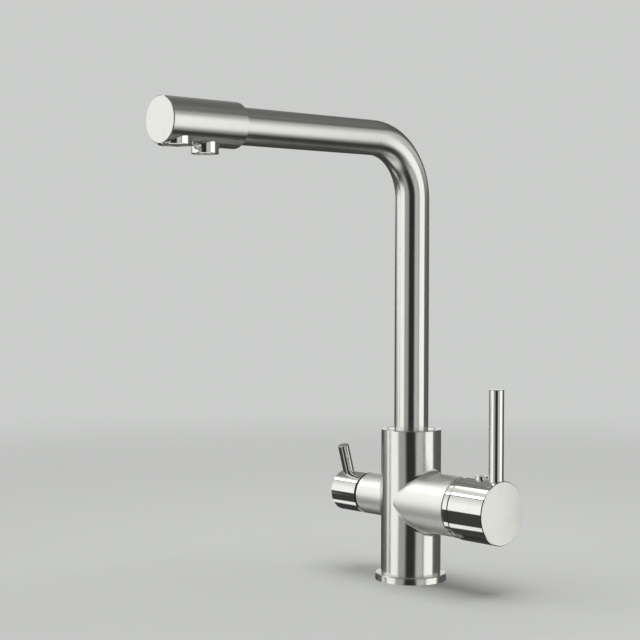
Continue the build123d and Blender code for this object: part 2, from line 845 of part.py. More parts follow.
def cartridge_moving_parts():
    """The sliding disc and its coupler, and the carrier that turns with the handle."""
    disc = bar(moving_disc_r, moving_disc_x, moving_disc_x + disc_t, main_axis)
    pocket_end = moving_disc_x + disc_pocket_depth
    low = branch_z - disc_pocket_foot
    high = branch_z + disc_pocket_top
    disc -= block(moving_disc_x, pocket_end, -disc_pocket_half, disc_pocket_half, low, high)

    half = coupler_width / 2
    coupler_end = coupler_x + coupler_t
    coupler = bar(moving_disc_r, coupler_x, coupler_end, main_axis)
    low = branch_z - moving_disc_r
    high = branch_z + moving_disc_r
    coupler &= block(coupler_x, coupler_end, -half, half, low, high)
    pocket_start = ball_x - ball_r - part_clearance
    coupler -= bar(ball_r + ball_gap, pocket_start, coupler_end, main_axis)

    carrier = bar(carrier_r, carrier_x, carrier_shoulder_x, main_axis)
    neck_end = housing_end_x - seat_gap
    carrier += bar(carrier_neck_r, carrier_shoulder_x, neck_end, main_axis)
    leg_start = coupler_x + part_clearance
    low = branch_z - carrier_leg_half
    high = branch_z + carrier_leg_half
    legs = bar(carrier_r, leg_start, carrier_x, main_axis)
    legs &= block(leg_start, carrier_x, -carrier_r, carrier_r, low, high)
    leg_inner = half + seat_gap
    legs -= block(leg_start, carrier_x, -leg_inner, leg_inner, low, high)
    carrier += legs
    slot_half = lever_block / 2 + seat_gap
    low = branch_z - carrier_slot_half
    high = branch_z + carrier_slot_half
    carrier -= block(carrier_x, neck_end, -slot_half, slot_half, low, high)
    cross = Axis((pivot_x, 0, branch_z), (0, 1, 0))
    carrier -= bar(pivot_pin_r + face_film, -carrier_r, carrier_r, cross)
    seal_x = carrier_shoulder_x - carrier_seal_setback
    seal_end = seal_x + carrier_seal_width
    groove_r = carrier_r - carrier_seal_depth
    carrier -= ring(carrier_r + cut_margin, groove_r, seal_x, seal_end, main_axis)
    seal = fitted_seal(carrier_r, groove_r, seal_x, seal_end, main_axis)
    pin = bar(pivot_pin_r, -pivot_pin_half, pivot_pin_half, cross)
    return {
        "cartridge_moving_disc": disc,
        "cartridge_disc_coupler": coupler,
        "cartridge_carrier": carrier,
        "cartridge_carrier_seal": seal,
        "cartridge_pivot_pin": pin,
    }


def dome_point(sphere_r, radius):
    """The distance along the mixer axis where the dome's sphere has this radius."""
    return pivot_x + sqrt(sphere_r**2 - radius**2)


def dome_arc(sphere_r, r_start, r_end):
    """An arc of the dome's section between two radii."""
    middle_r = (r_start + r_end) / 2
    points = [(dome_point(sphere_r, r), r) for r in (r_start, middle_r, r_end)]
    return ThreePointArc(*points)


def branch_trim_parts():
    """What closes the mixer branch: the nut, the polished ring and the dome cover."""
    thread_end = main_stub_x
    nut_end = thread_end + nut_head_length
    nut = ring(nut_thread_r, housing_neck_r + seat_gap, nut_seat_x, thread_end, main_axis)
    nut += ring(nut_head_r, housing_neck_r + seat_gap, thread_end, nut_end, main_axis)
    castle_x = nut_end - nut_castle_depth
    low = branch_z - nut_castle_width / 2
    high = branch_z + nut_castle_width / 2
    reach = nut_head_r + cut_margin
    castle = block(castle_x, nut_end, -reach, reach, low, high)
    for k in range(nut_castle_count):
        nut -= castle.rotate(main_axis, 180 * k / nut_castle_count)

    lip_end = main_stub_x + trim_ring_lip_t
    edge = trim_ring_edge
    groove_r = trim_ring_r - trim_groove_depth
    groove_end = main_stub_x + trim_groove_width
    trim = turned(
        [
            (main_stub_x, nut_head_r + part_clearance),
            (main_stub_x, groove_r),
            (groove_end, groove_r),
            (groove_end, trim_ring_r - trim_ring_back_edge),
            (groove_end + trim_ring_back_edge, trim_ring_r),
            (ring_face_x - edge, trim_ring_r),
            (ring_face_x, trim_ring_r - edge),
            (ring_face_x, trim_ring_bore_r),
            (lip_end, trim_ring_bore_r),
            (lip_end, nut_head_r + part_clearance),
        ],
        main_axis,
    )

    skirt_r = trim_ring_bore_r - running_gap
    thread_r = nut_head_r + thread_gap
    inside_r = dome_r - dome_t
    outer_start = (dome_point(dome_r, skirt_r), skirt_r)
    outer_end = (dome_point(dome_r, dome_opening_r), dome_opening_r)
    inner_end = (dome_point(inside_r, dome_opening_r), dome_opening_r)
    inner_start = (dome_point(inside_r, thread_r), thread_r)
    dome = turned_edges(
        [
            Line((lip_end, skirt_r), outer_start),
            dome_arc(dome_r, skirt_r, dome_opening_r),
            Line(outer_end, inner_end),
            dome_arc(inside_r, dome_opening_r, thread_r),
            Line(inner_start, (lip_end, thread_r)),
            Line((lip_end, thread_r), (lip_end, skirt_r)),
        ],
        main_axis,
    )
    return {"cartridge_nut": nut, "trim_ring": trim, "dome_cover": dome}


def lever_stem_parts():
    """The lever inside the cartridge: ball, shank and square stem on the cross pin."""
    half = lever_block / 2
    stem = Pos(ball_x, 0, branch_z) * Sphere(ball_r)
    block_x = pivot_x - lever_block_start
    stem += bar(lever_shank_r, ball_x, pivot_x, main_axis)
    stem += block(block_x, lever_tip_x, -half, half, branch_z - half, branch_z + half)
    cross = Axis((pivot_x, 0, branch_z), (0, 1, 0))
    stem -= bar(pivot_pin_r + running_gap, -half, half, cross)
    return {"lever_stem": stem}


def handle_parts():
    """The polished cup, its upright pin and the socket screw that clamps it to the stem."""
    cup = turned(
        [
            (handle_back_x, 0),
            (handle_back_x, handle_r - handle_rim_edge),
            (handle_back_x + handle_rim_edge, handle_r),
            (handle_face_x - handle_edge, handle_r),
            (handle_face_x, handle_r - handle_edge),
            (handle_face_x, 0),
        ],
        main_axis,
    )
    cup -= turned(
        [
            (handle_back_x, 0),
            (handle_back_x, handle_bore_r + handle_rim_bevel),
            (handle_back_x + handle_rim_bevel, handle_bore_r),
            (handle_back_x + handle_rim_bevel, 0),
        ],
        main_axis,
    )
    cavity = bar(handle_bore_r, handle_back_x, handle_cavity_x, main_axis)
    cavity -= bar(hub_r, hub_start_x, handle_cavity_x, main_axis)
    screw_axis = Axis((screw_x, 0, branch_z), (0, 0, 1))
    cavity -= bar(screw_boss_r, hub_r / 2, handle_r, screw_axis)
    cup -= cavity
    half = lever_block / 2 + seat_gap
    socket_end = lever_tip_x + part_clearance
    cup -= block(hub_start_x, socket_end, -half, half, branch_z - half, branch_z + half)

    screw_foot = lever_block / 2 + face_film
    head_floor = handle_r - screw_head_sink
    head_top = handle_r + screw_head_rise
    cup -= bar(screw_shank_r + thread_gap, 0, head_floor, screw_axis)
    cup -= bar(screw_head_r + running_gap, head_floor, head_top, screw_axis)
    screw = bar(screw_shank_r, screw_foot, head_floor, screw_axis)
    screw += turned(
        [
            (head_floor, 0),
            (head_floor, screw_head_r),
            (head_top - screw_head_edge, screw_head_r),
            (head_top, screw_head_r - screw_head_edge),
            (head_top, 0),
        ],
        screw_axis,
    )
    screw -= hexagon(screw_hex_af, head_top - screw_hex_depth, head_top, screw_axis)

    pin_axis = Axis((lever_pin_x, 0, branch_z), (0, 0, 1))
    pin_seat = handle_r - pin_seat_depth
    pin_foot = pin_seat - lever_pin_thread_depth
    cup -= bar(lever_pin_r + running_gap, pin_seat, handle_r + cut_margin, pin_axis)
    cup -= bar(lever_pin_thread_r + thread_gap, pin_foot - thread_end_gap, pin_seat, pin_axis)
    pin_top = handle_r + lever_pin_rise
    pin = turned(
        [
            (pin_foot, 0),
            (pin_foot, lever_pin_thread_r),
            (pin_seat, lever_pin_thread_r),
            (pin_seat, lever_pin_r),
            (pin_top - lever_pin_edge, lever_pin_r),
            (pin_top, lever_pin_r - lever_pin_edge),
            (pin_top, 0),
        ],
        pin_axis,
    )
    return {"handle_cup": cup, "lever_pin": pin, "handle_screw": screw}


def filter_valve_parts():
    """The quarter-turn valve's still pieces in the filter branch."""
    seal_end = valve_seat_x + valve_seat_seal_t
    bore_r = valve_seat_seal_bore_r
    seat_seal = fitted_seal(valve_cage_r, bore_r, valve_seat_x, seal_end, filter_axis)
    disc_end = seal_end + valve_disc_t
    fixed = bar(valve_disc_r, seal_end, disc_end, filter_axis)
    for side in (-1, 1):
        way = beside(filter_axis, z=side * valve_hole_offset)
        fixed -= bar(valve_hole_r, seal_end, disc_end, way)
    cage_bore_r = valve_cage_r - valve_cage_wall
    flange_end = filter_stub_x + valve_flange_t
    thread_r = valve_bore_r - thread_gap
    cage = turned(
        [
            (seal_end, cage_bore_r),
            (seal_end, valve_cage_r),
            (valve_thread_start, valve_cage_r),
            (valve_thread_start, thread_r),
            (filter_stub_x, thread_r),
            (filter_stub_x, spindle_r + running_gap),
            (valve_cage_end, spindle_r + running_gap),
            (valve_cage_end, cage_bore_r),
        ],
        filter_axis,
    )
    cap = hexagon(valve_flange_af, filter_stub_x, flange_end, filter_axis)
    cage += cap - bar(spindle_r + running_gap, filter_stub_x, flange_end, filter_axis)
    window_end = valve_groove_start + valve_groove_width
    low = branch_z - valve_window_h / 2
    high = branch_z + valve_window_h / 2
    reach = valve_cage_r + cut_margin
    cage -= block(-window_end, -disc_end, -reach, reach, low, high)
    return {
        "filter_valve_body": cage,
        "filter_seat_seal": seat_seal,
        "filter_fixed_disc": fixed,
    }


def filter_spindle_parts():
    """The turning disc, the spindle, its seal and the clip that keeps it in."""
    disc_start = valve_seat_x + valve_seat_seal_t + valve_disc_t + face_film
    disc_end = disc_start + valve_disc_t
    disc = bar(valve_disc_r, disc_start, disc_end, filter_axis)
    for side in (-1, 1):
        way = beside(filter_axis, y=side * valve_hole_offset)
        disc -= bar(valve_hole_r, disc_start, disc_end, way)
    foot_end = disc_end + spindle_foot_t
    spindle = bar(valve_disc_r, disc_end, foot_end, filter_axis)
    spindle += bar(spindle_r, foot_end, spindle_end_x, filter_axis)
    for side in (-1, 1):
        way = beside(filter_axis, y=side * spindle_notch_offset)
        spindle -= bar(spindle_notch_r, disc_end, foot_end, way)
    seal_end = spindle_seal_x + spindle_seal_width
    groove_r = spindle_r - spindle_seal_depth
    spindle -= ring(spindle_r + cut_margin, groove_r, spindle_seal_x, seal_end, filter_axis)
    seal = fitted_seal(spindle_r, groove_r, spindle_seal_x, seal_end, filter_axis)
    clip_start = filter_stub_x + valve_flange_t + running_gap
    clip_end = clip_start + spindle_clip_t
    clip_r_in = spindle_r - spindle_clip_depth
    spindle -= ring(spindle_r + cut_margin, clip_r_in, clip_start, clip_end, filter_axis)
    clip = ring(spindle_clip_r, clip_r_in, clip_start, clip_end, filter_axis)
    half = spindle_clip_mouth / 2
    clip -= block(-clip_end, -clip_start, -half, half, branch_z - spindle_clip_r, branch_z)
    return {
        "filter_moving_disc": disc,
        "filter_spindle": spindle,
        "filter_spindle_seal": seal,
        "filter_spindle_clip": clip,
    }


def filter_knob_parts():
    """The filter knob, its short pin and its grub screw, leaning forward as they are stored."""
    knob = turned(
        [
            (knob_back_x, 0),
            (knob_back_x, filter_stub_r - knob_rim_edge),
            (knob_back_x + knob_rim_edge, filter_stub_r),
            (knob_face_x - knob_edge, filter_stub_r),
            (knob_face_x, filter_stub_r - knob_edge),
            (knob_face_x, 0),
        ],
        filter_axis,
    )
    cavity = bar(knob_bore_r, knob_back_x, knob_cavity_x, filter_axis)
    cavity -= bar(knob_hub_r, knob_hub_start_x, knob_cavity_x, filter_axis)
    screw_axis = Axis((-knob_screw_x, 0, branch_z), (0, 0, -1))
    cavity -= bar(knob_boss_r, knob_hub_r / 2, filter_stub_r, screw_axis)
    knob -= cavity
    knob -= bar(spindle_r + running_gap, knob_hub_start_x, spindle_end_x + part_clearance, filter_axis)
    knob -= bar(knob_screw_r + thread_gap, 0, filter_stub_r + cut_margin, screw_axis)
    screw_foot = spindle_r + face_film
    screw_end = screw_foot + knob_screw_length
    screw = bar(knob_screw_r, screw_foot, screw_end, screw_axis)
    screw -= hexagon(knob_screw_hex_af, screw_end - knob_screw_hex_depth, screw_end, screw_axis)

    pin_axis = Axis((-filter_pin_x, 0, branch_z), (0, 0, 1))
    seat = filter_stub_r - pin_seat_depth
    foot = seat - filter_pin_thread_depth
    knob -= bar(filter_pin_r + running_gap, seat, filter_stub_r + cut_margin, pin_axis)
    knob -= bar(filter_pin_thread_r + thread_gap, foot - thread_end_gap, seat, pin_axis)
    top = filter_stub_r + filter_pin_rise
    pin = turned(
        [
            (foot, 0),
            (foot, filter_pin_thread_r),
            (seat, filter_pin_thread_r),
            (seat, filter_pin_r),
            (top - filter_pin_edge, filter_pin_r),
            (top, filter_pin_r - filter_pin_edge),
            (top, 0),
        ],
        pin_axis,
    )
    return {"filter_knob": knob, "filter_pin": pin, "filter_grub_screw": screw}


def leaned(parts):
    """The knob's pieces turned forward about the branch by the angle they are stored at."""
    return {name: shape.rotate(main_axis, knob_lean) for name, shape in parts.items()}


def horseshoe(z0, z1):
    """A clamp plate under the deck: open for the hoses, with a lobe round the stud."""
    plate = bar(pad_r, z0, z1, column_axis)
    far_side = -pad_r - cut_margin
    opening = block(far_side, lobe_edge, -slot_half_width, slot_half_width, z0, z1)
    plate -= opening.rotate(column_axis, stud_angle)
    x, y = stud_place
    plate -= bar(stud_r + seat_gap, z0, z1, beside(column_axis, x=x, y=y))
    return plate


def mounting_parts():
    """The stud and the pad, clamp plate and nut that hold the tap to the deck."""
    x, y = stud_place
    stud_axis = beside(column_axis, x=x, y=y)
    top = hose_chamber_top_z + stud_depth - stud_end_gap
    stud = bar(stud_r, stud_bottom_z, top, stud_axis)
    pad_z = -deck_gap - pad_t
    clamp_z = pad_z - clamp_t
    nut_z = clamp_z - nut_h
    nut = hexagon(nut_af, nut_z, clamp_z, stud_axis)
    nut -= bar(stud_r + thread_gap, nut_z, clamp_z, stud_axis)
    return {
        "mounting_stud": stud,
        "mounting_pad": horseshoe(pad_z, pad_z + pad_t),
        "mounting_clamp": horseshoe(clamp_z, clamp_z + clamp_t),
        "mounting_nut": nut,
    }


nodes = {
    **base_parts(),
    **column_parts(),
    **inlet_block_parts(),
    **swivel_parts(),
    **spout_parts(),
    **head_shell_parts(),
    **manifold_parts(),
    **outlet_parts(),
    **cartridge_fixed_parts(),
    **cartridge_moving_parts(),
    **branch_trim_parts(),
    **lever_stem_parts(),
    **handle_parts(),
    **filter_valve_parts(),
    **leaned(filter_spindle_parts()),
    **leaned(filter_knob_parts()),
    **mounting_parts(),
}

os.makedirs("parts", exist_ok=True)
for name, shape in nodes.items():
    shape.label = name
    export_step(shape, f"parts/{name}.step")
print(len(nodes), "nodes written")
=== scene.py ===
"""The kitchen mixer tap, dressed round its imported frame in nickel, brass, rubber and plastic."""

import logging
from collections.abc import Callable
from dataclasses import dataclass, field
from enum import Enum
from math import cos, pi, radians, sin

import bpy
from mathutils import Matrix, Vector


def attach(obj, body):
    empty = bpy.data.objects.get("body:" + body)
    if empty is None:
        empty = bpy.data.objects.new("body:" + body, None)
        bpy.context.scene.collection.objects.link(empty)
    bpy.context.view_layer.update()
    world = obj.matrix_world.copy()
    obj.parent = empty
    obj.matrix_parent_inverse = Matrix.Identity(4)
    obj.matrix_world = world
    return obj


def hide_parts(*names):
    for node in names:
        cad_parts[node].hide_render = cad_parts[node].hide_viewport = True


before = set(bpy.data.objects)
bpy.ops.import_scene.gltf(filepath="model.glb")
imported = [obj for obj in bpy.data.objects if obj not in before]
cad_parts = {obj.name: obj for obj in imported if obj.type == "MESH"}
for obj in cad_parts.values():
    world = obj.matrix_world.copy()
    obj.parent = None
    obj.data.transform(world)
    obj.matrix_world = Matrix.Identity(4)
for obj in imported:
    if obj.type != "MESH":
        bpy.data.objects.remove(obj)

Triple = tuple[float, float, float]
Socket = bpy.types.NodeSocket
Piece = bpy.types.Object
Material = bpy.types.Material

log = logging.getLogger("mixer_tap")

MM = 0.001  # metres in a millimetre
UP: Triple = (0.0, 0.0, 1.0)
BRANCH_Z = 56.0  # height of the branches' axis above the deck, in millimetres
SPOUT_Z = 308.0  # height of the spout's level run, in millimetres
TOOL_MARK = 0.00002  # depth of a fine tool mark, in metres
QUARTER_TURN = 0.25
STRAIGHT_UP = 0.9  # least rise of a face's normal that counts as upright
OBJECT_TO_WORLD = {"vector_type": "VECTOR", "convert_from": "OBJECT", "convert_to": "WORLD"}


class Body(Enum):
    """The parts of the tap that move as one, by their names in the frame."""

    COLUMN = "body"
    SPOUT = "spout"


class Slot(Enum):
    """The record's finishes that a piece made here takes."""

    ZINC_PLATED_STEEL = "zinc_plated_steel"
    STAINLESS_STEEL = "stainless_steel"


@dataclass(frozen=True)
class Grain:
    """The look of one noise.

    Attributes:
        scale: Its patches to the metre.
        detail: How many finer noises ride on it.
        strength: How strong those are.
        faint: The height up to which a patch leaves nothing.
        full: The height from which it shows in full.
    """

    scale: float
    detail: float = 2.0
    strength: float = 0.5
    faint: float = 0.0
    full: float = 1.0


@dataclass(frozen=True)
class Streaks:
    """Fine lines that a brush, a wheel or a tool left round an axis.

    Attributes:
        along: Lines to the metre along the axis.
        outward: Lines to the metre away from it.
        scatter: How often a line changes on its way, to the metre.
        grain: The noise that makes them.
    """

    along: float
    outward: float
    scatter: float
    grain: Grain = Grain(1.0, 3.0, 0.6)


@dataclass(frozen=True)
class Coat:
    """How a surface looks between its marks and on them.

    Attributes:
        plain: Its colour between them.
        marked: Its colour on them.
        roughness: How wide its reflections spread between them.
        wear: How much wider they spread on them.
        relief: How strongly its texture stands out.
        depth: The texture's depth, in metres.
        ior: Its index of refraction, or None for a metal.
    """

    plain: Triple
    marked: Triple
    roughness: float
    wear: float
    relief: float
    depth: float = TOOL_MARK
    ior: float | None = None


@dataclass(frozen=True)
class Lay:
    """Where a place lies about the axis that its piece was worked round.

    Attributes:
        offset: The place from the axis's point, in metres.
        along: Its distance along the axis, in metres.
        across: The direction round the axis, as long as the place is far from it.
        lines: The direction of the brush lines.
        aside: 1 on a branch of the piece and 0 elsewhere, or None for a piece with no branch.
    """

    offset: Socket
    along: Socket
    across: Socket
    lines: Socket
    aside: Socket | None = None


class Nodes:
    """A node tree, with a short call for each kind of node that the finishes need."""

    def __init__(self, tree: bpy.types.NodeTree) -> None:
        """Empties the tree, which the other methods fill."""
        self.tree = tree
        tree.nodes.clear()

    def put(self, target: Socket, value: object) -> None:
        """Sets a socket to a number or colour, or links it to another node's output.

        Args:
            target: The input socket.
            value: A number, a tuple of numbers, or an output socket.
        """
        if isinstance(value, bpy.types.NodeSocket):
            self.tree.links.new(value, target)
        elif isinstance(value, tuple) and target.type == "RGBA":
            target.default_value = (*value, 1.0)
        else:
            target.default_value = value

    def add(
        self,
        kind: str,
        settings: dict[str, object] | None = None,
        values: tuple[object, ...] = (),
        **inputs: object,
    ) -> bpy.types.Node:
        """Adds one node.

        Args:
            kind: The node's type without its ShaderNode prefix.
            settings: Its properties, such as an operation.
            values: Its first input sockets, in the node's order.
            **inputs: Its other input sockets, by name with _ for a blank.

        Returns:
            The node.
        """
        node = self.tree.nodes.new("ShaderNode" + kind)
        for name, value in (settings or {}).items():
            setattr(node, name, value)
        for target, value in zip(node.inputs, values):
            self.put(target, value)
        for name, value in inputs.items():
            self.put(node.inputs[name.replace("_", " ")], value)
        return node

    def place(self) -> Socket:
        """Returns the place on the piece, in metres from the tap's origin."""
        return self.add("TexCoord").outputs["Object"]

    def math(self, operation: str, *values: object) -> Socket:
        """Returns the result of a Math node's operation on one to three numbers."""
        return self.add("Math", {"operation": operation}, values).outputs[0]

    def between(self, value: object, low: float, high: float) -> Socket:
        """Returns a number kept between two others."""
        return self.math("MINIMUM", self.math("MAXIMUM", value, low), high)

    def vector(self, operation: str, *values: object) -> Socket:
        """Returns the result of a Vector Math node's operation: a vector, or a number."""
        node = self.add("VectorMath", {"operation": operation}, values)
        return node.outputs["Value" if operation in ("DOT_PRODUCT", "LENGTH") else "Vector"]

    def scaled(self, vector: object, factor: object) -> Socket:
        """Returns a vector times a number."""
        scale = {"operation": "SCALE"}
        return self.add("VectorMath", scale, (vector,), Scale=factor).outputs["Vector"]

    def joined(self, x: object, y: object, z: object) -> Socket:
        """Returns the vector of three numbers."""
        return self.add("CombineXYZ", X=x, Y=y, Z=z).outputs[0]

    def split(self, vector: object) -> list[Socket]:
        """Returns the three numbers of a vector."""
        return list(self.add("SeparateXYZ", Vector=vector).outputs)

    def ranged(
        self, value: object, low: float, high: float, to_low: float = 0.0, to_high: float = 1.0
    ) -> Socket:
        """Returns to_low up to low and to_high from high on, with a soft change between them."""
        values = (value, low, high, to_low, to_high)
        return self.add("MapRange", {"interpolation_type": "SMOOTHSTEP"}, values).outputs[0]

    def noise(self, where: object, grain: Grain) -> Socket:
        """Returns the height of a noise between 0 and 1 at a place."""
        look = {"Scale": grain.scale, "Detail": grain.detail, "Roughness": grain.strength}
        return self.add("TexNoise", Vector=where, **look).outputs["Fac"]

    def patches(self, where: object, grain: Grain) -> Socket:
        """Returns how fully a noise's patch shows at a place, from 0 to 1."""
        return self.ranged(self.noise(where, grain), grain.faint, grain.full)

    def streaks(self, lay: Lay, streaks: Streaks) -> Socket:
        """Makes fine lines.

        Args:
            lay: Where the place lies about the axis.
            streaks: The lines' look.

        Returns:
            Their height between 0 and 1.
        """
        along = self.math("MULTIPLY", lay.along, streaks.along)
        outward = self.math("MULTIPLY", self.vector("LENGTH", lay.across), streaks.outward)
        scattered = self.scaled(lay.offset, streaks.scatter)
        place = self.vector("ADD", self.joined(along, outward, 0.0), scattered)
        return self.noise(place, streaks.grain)

    def blend(self, factor: object, first: object, second: object) -> Socket:
        """Mixes two colours.

        Args:
            factor: The second colour's part.
            first: The first colour.
            second: The second colour.

        Returns:
            The mix.
        """
        node = self.add("Mix", {"data_type": "RGBA"})
        for index, value in ((0, factor), (6, first), (7, second)):
            self.put(node.inputs[index], value)
        return node.outputs[2]

    def bump(self, height: object, strength: float, depth: float) -> Socket:
        """Returns the normal of a surface with this height and this full depth in metres."""
        return self.add("Bump", Strength=strength, Distance=depth, Height=height).outputs[0]

    def shader(self, colour: Socket, roughness: Socket, normal: Socket, **more: object) -> Socket:
        """Returns a surface's shader, with its other input sockets by name as for add."""
        look = {"Base_Color": colour, "Roughness": roughness, "Normal": normal}
        return self.add("BsdfPrincipled", **look, **more).outputs[0]

    def coated(
        self, coat: Coat, mark: Socket, height: Socket, spread: Socket | None = None
    ) -> Socket:
        """Makes a marked surface's shader.

        Args:
            coat: Its look.
            mark: How fully its marks show, from 0 to 1.
            height: Its texture's height, from 0 to 1.
            spread: What its reflections widen with, if not with the marks.

        Returns:
            The shader.
        """
        colour = self.blend(mark, coat.plain, coat.marked)
        wide = mark if spread is None else spread
        roughness = self.math("MULTIPLY_ADD", wide, coat.wear, coat.roughness)
        kind = {"IOR": coat.ior} if coat.ior else {"Metallic": 1.0}
        return self.shader(colour, roughness, self.bump(height, coat.relief, coat.depth), **kind)


@dataclass(frozen=True)
class Lathe:
    """A straight axis that pieces were turned, brushed or moulded round.

    Attributes:
        point: A place on the axis, in millimetres.
        direction: The axis's direction, of length 1.
    """

    point: Triple
    direction: Triple

    def lay(self, nodes: Nodes) -> Lay:
        """Works out where a place lies about the axis.

        Args:
            nodes: The tree that the nodes go into.

        Returns:
            The lay at the place.
        """
        point = tuple(value * MM for value in self.point)
        offset = nodes.vector("SUBTRACT", nodes.place(), point)
        along = nodes.vector("DOT_PRODUCT", offset, self.direction)
        across = nodes.vector("CROSS_PRODUCT", self.direction, offset)
        return Lay(offset, along, across, across)


@dataclass(frozen=True)
class CrossedLathes:
    """The column's axis, which it is brushed round, and that of its branches, brushed lengthwise.

    Attributes:
        upright: The column's axis.
        level: The branches' axis.
        radius: The column's radius, beyond which the branches begin, in millimetres.
        seam: How wide the change between the two is, in millimetres.
    """

    upright: Lathe
    level: Lathe
    radius: float
    seam: float

    def lay(self, nodes: Nodes) -> Lay:
        """Works out where a place lies about the axis of the column or of its branch.

        Args:
            nodes: The tree that the nodes go into.

        Returns:
            The lay at the place.
        """
        column, branch = self.upright.lay(nodes), self.level.lay(nodes)
        out = nodes.vector("LENGTH", column.across)
        aside = nodes.ranged(out, self.radius * MM, (self.radius + self.seam) * MM)
        rest = nodes.math("SUBTRACT", 1.0, aside)
        on_column = nodes.scaled(column.across, rest)
        across = nodes.vector("ADD", on_column, nodes.scaled(branch.across, aside))
        lines = nodes.vector("ADD", on_column, nodes.scaled(self.level.direction, aside))
        up_column = nodes.math("MULTIPLY", column.along, rest)
        along = nodes.math("ADD", up_column, nodes.math("MULTIPLY", branch.along, aside))
        return Lay(branch.offset, along, across, lines, aside)


@dataclass(frozen=True)
class BentLathe:
    """The spout tube's axis: up the column's middle, round one bend and out level towards -Y.

    Attributes:
        bend_r: The bend's radius, in millimetres.
        spout_z: The level run's height, in millimetres.
    """

    bend_r: float
    spout_z: float

    def lay(self, nodes: Nodes) -> Lay:
        """Works out where a place lies about the bent axis.

        Args:
            nodes: The tree that the nodes go into.

        Returns:
            The lay at the place.
        """
        bend, centre_z = self.bend_r * MM, (self.spout_z - self.bend_r) * MM
        from_centre = nodes.vector("SUBTRACT", nodes.place(), (0.0, -bend, centre_z))
        _, back, up = nodes.split(from_centre)
        round_up, round_back = nodes.math("MAXIMUM", up, 0.0), nodes.math("MAXIMUM", back, 0.0)
        turned = nodes.math("ARCTAN2", round_up, round_back)
        rise, reach = nodes.math("SINE", turned), nodes.math("COSINE", turned)
        sides = nodes.math("MULTIPLY", reach, bend), nodes.math("MULTIPLY", rise, bend)
        before, below = nodes.math("MINIMUM", back, 0.0), nodes.math("MINIMUM", up, 0.0)
        on_axis = nodes.vector("ADD", nodes.joined(0.0, *sides), nodes.joined(0.0, before, below))
        offset = nodes.vector("SUBTRACT", from_centre, on_axis)
        direction = nodes.joined(0.0, nodes.math("MULTIPLY", rise, -1.0), reach)
        straight = nodes.math("SUBTRACT", below, before)
        along = nodes.math("MULTIPLY_ADD", turned, bend, straight)
        across = nodes.vector("CROSS_PRODUCT", direction, offset)
        return Lay(offset, along, across, across)


COLUMN_AXIS = Lathe((0.0, 0.0, 0.0), UP)
BRANCH_AXIS = Lathe((0.0, 0.0, BRANCH_Z), (1.0, 0.0, 0.0))


@dataclass(frozen=True)
class Finish:
    """What every finish shares: its material has one surface shader, made by the finish itself."""

    def surface(self, nodes: Nodes) -> Socket:
        """Makes the surface shader.

        Args:
            nodes: The material's node tree.

        Returns:
            The shader.
        """
        raise NotImplementedError

    def make(self, name: str) -> Material:
        """Makes the material.

        Args:
            name: The material's name.

        Returns:
            The material.
        """
        material = bpy.data.materials.new(name)
        material.use_nodes = True
        nodes = Nodes(material.node_tree)
        shader = self.surface(nodes)
        nodes.add("OutputMaterial", Surface=shader)
        return material


@dataclass(frozen=True)
class SatinNickel(Finish):
    """Nickel plate with a fine satin, brushed round the piece's axis and lengthwise on a branch.

    Attributes:
        axis: The axis or axes it was brushed by.
        coat: Its look between the brush's lines and on them.
        branch: The same on a branch, which is rougher, and painted paler as painted light to
            brighten it.
        anisotropy: How much wider its reflections spread across the lines than along them.
        brush: The brush's lines.
        passes: Wider, fainter bands from the brush's passes.
        passes_share: The bands' part of the whole mark.
        cloud: Where the plate is worn a little.
        cloud_wear: How much wider its reflections spread there.
    """

    axis: Lathe | BentLathe | CrossedLathes
    coat: Coat = Coat((0.755, 0.76, 0.715), (0.815, 0.82, 0.775), 0.18, 0.06, 0.04)
    # The branch's paler colours are painted light: they make it brighter than the column's same
    # plate.
    branch: Coat = Coat((0.895, 0.90, 0.85), (0.955, 0.96, 0.915), 0.29, 0.06, 0.04)
    anisotropy: float = 0.8
    brush: Streaks = Streaks(2600.0, 2600.0, 40.0)
    passes: Streaks = Streaks(420.0, 420.0, 25.0, Grain(1.0))
    passes_share: float = 0.45
    cloud: Grain = Grain(45.0)
    cloud_wear: float = 0.04

    def surface(self, nodes: Nodes) -> Socket:
        """Makes the brushed metal's shader.

        Args:
            nodes: The material's node tree.

        Returns:
            The shader.
        """
        lay = self.axis.lay(nodes)
        lines = nodes.math("MULTIPLY", nodes.streaks(lay, self.brush), 1.0 - self.passes_share)
        mark = nodes.math("MULTIPLY_ADD", nodes.streaks(lay, self.passes), self.passes_share, lines)
        cloud = nodes.noise(lay.offset, self.cloud)
        worn = nodes.math("MULTIPLY_ADD", mark, self.coat.wear, self.coat.roughness)
        worn = nodes.math("MULTIPLY_ADD", cloud, self.cloud_wear, worn)
        colour = nodes.blend(mark, self.coat.plain, self.coat.marked)
        if lay.aside is not None:
            rougher = self.branch.roughness - self.coat.roughness
            worn = nodes.math("MULTIPLY_ADD", lay.aside, rougher, worn)
            # Painted light: the branch takes paler colours than the column to brighten it.
            lit_branch_colour = nodes.blend(mark, self.branch.plain, self.branch.marked)
            colour = nodes.blend(lay.aside, colour, lit_branch_colour)
        in_world = nodes.add("VectorTransform", OBJECT_TO_WORLD, Vector=lay.lines).outputs[0]
        return nodes.shader(
            colour,
            worn,
            nodes.bump(mark, self.coat.relief, self.coat.depth),
            Metallic=1.0,
            Anisotropic=self.anisotropy,
            Anisotropic_Rotation=QUARTER_TURN,
            Tangent=nodes.vector("NORMALIZE", in_world),
        )


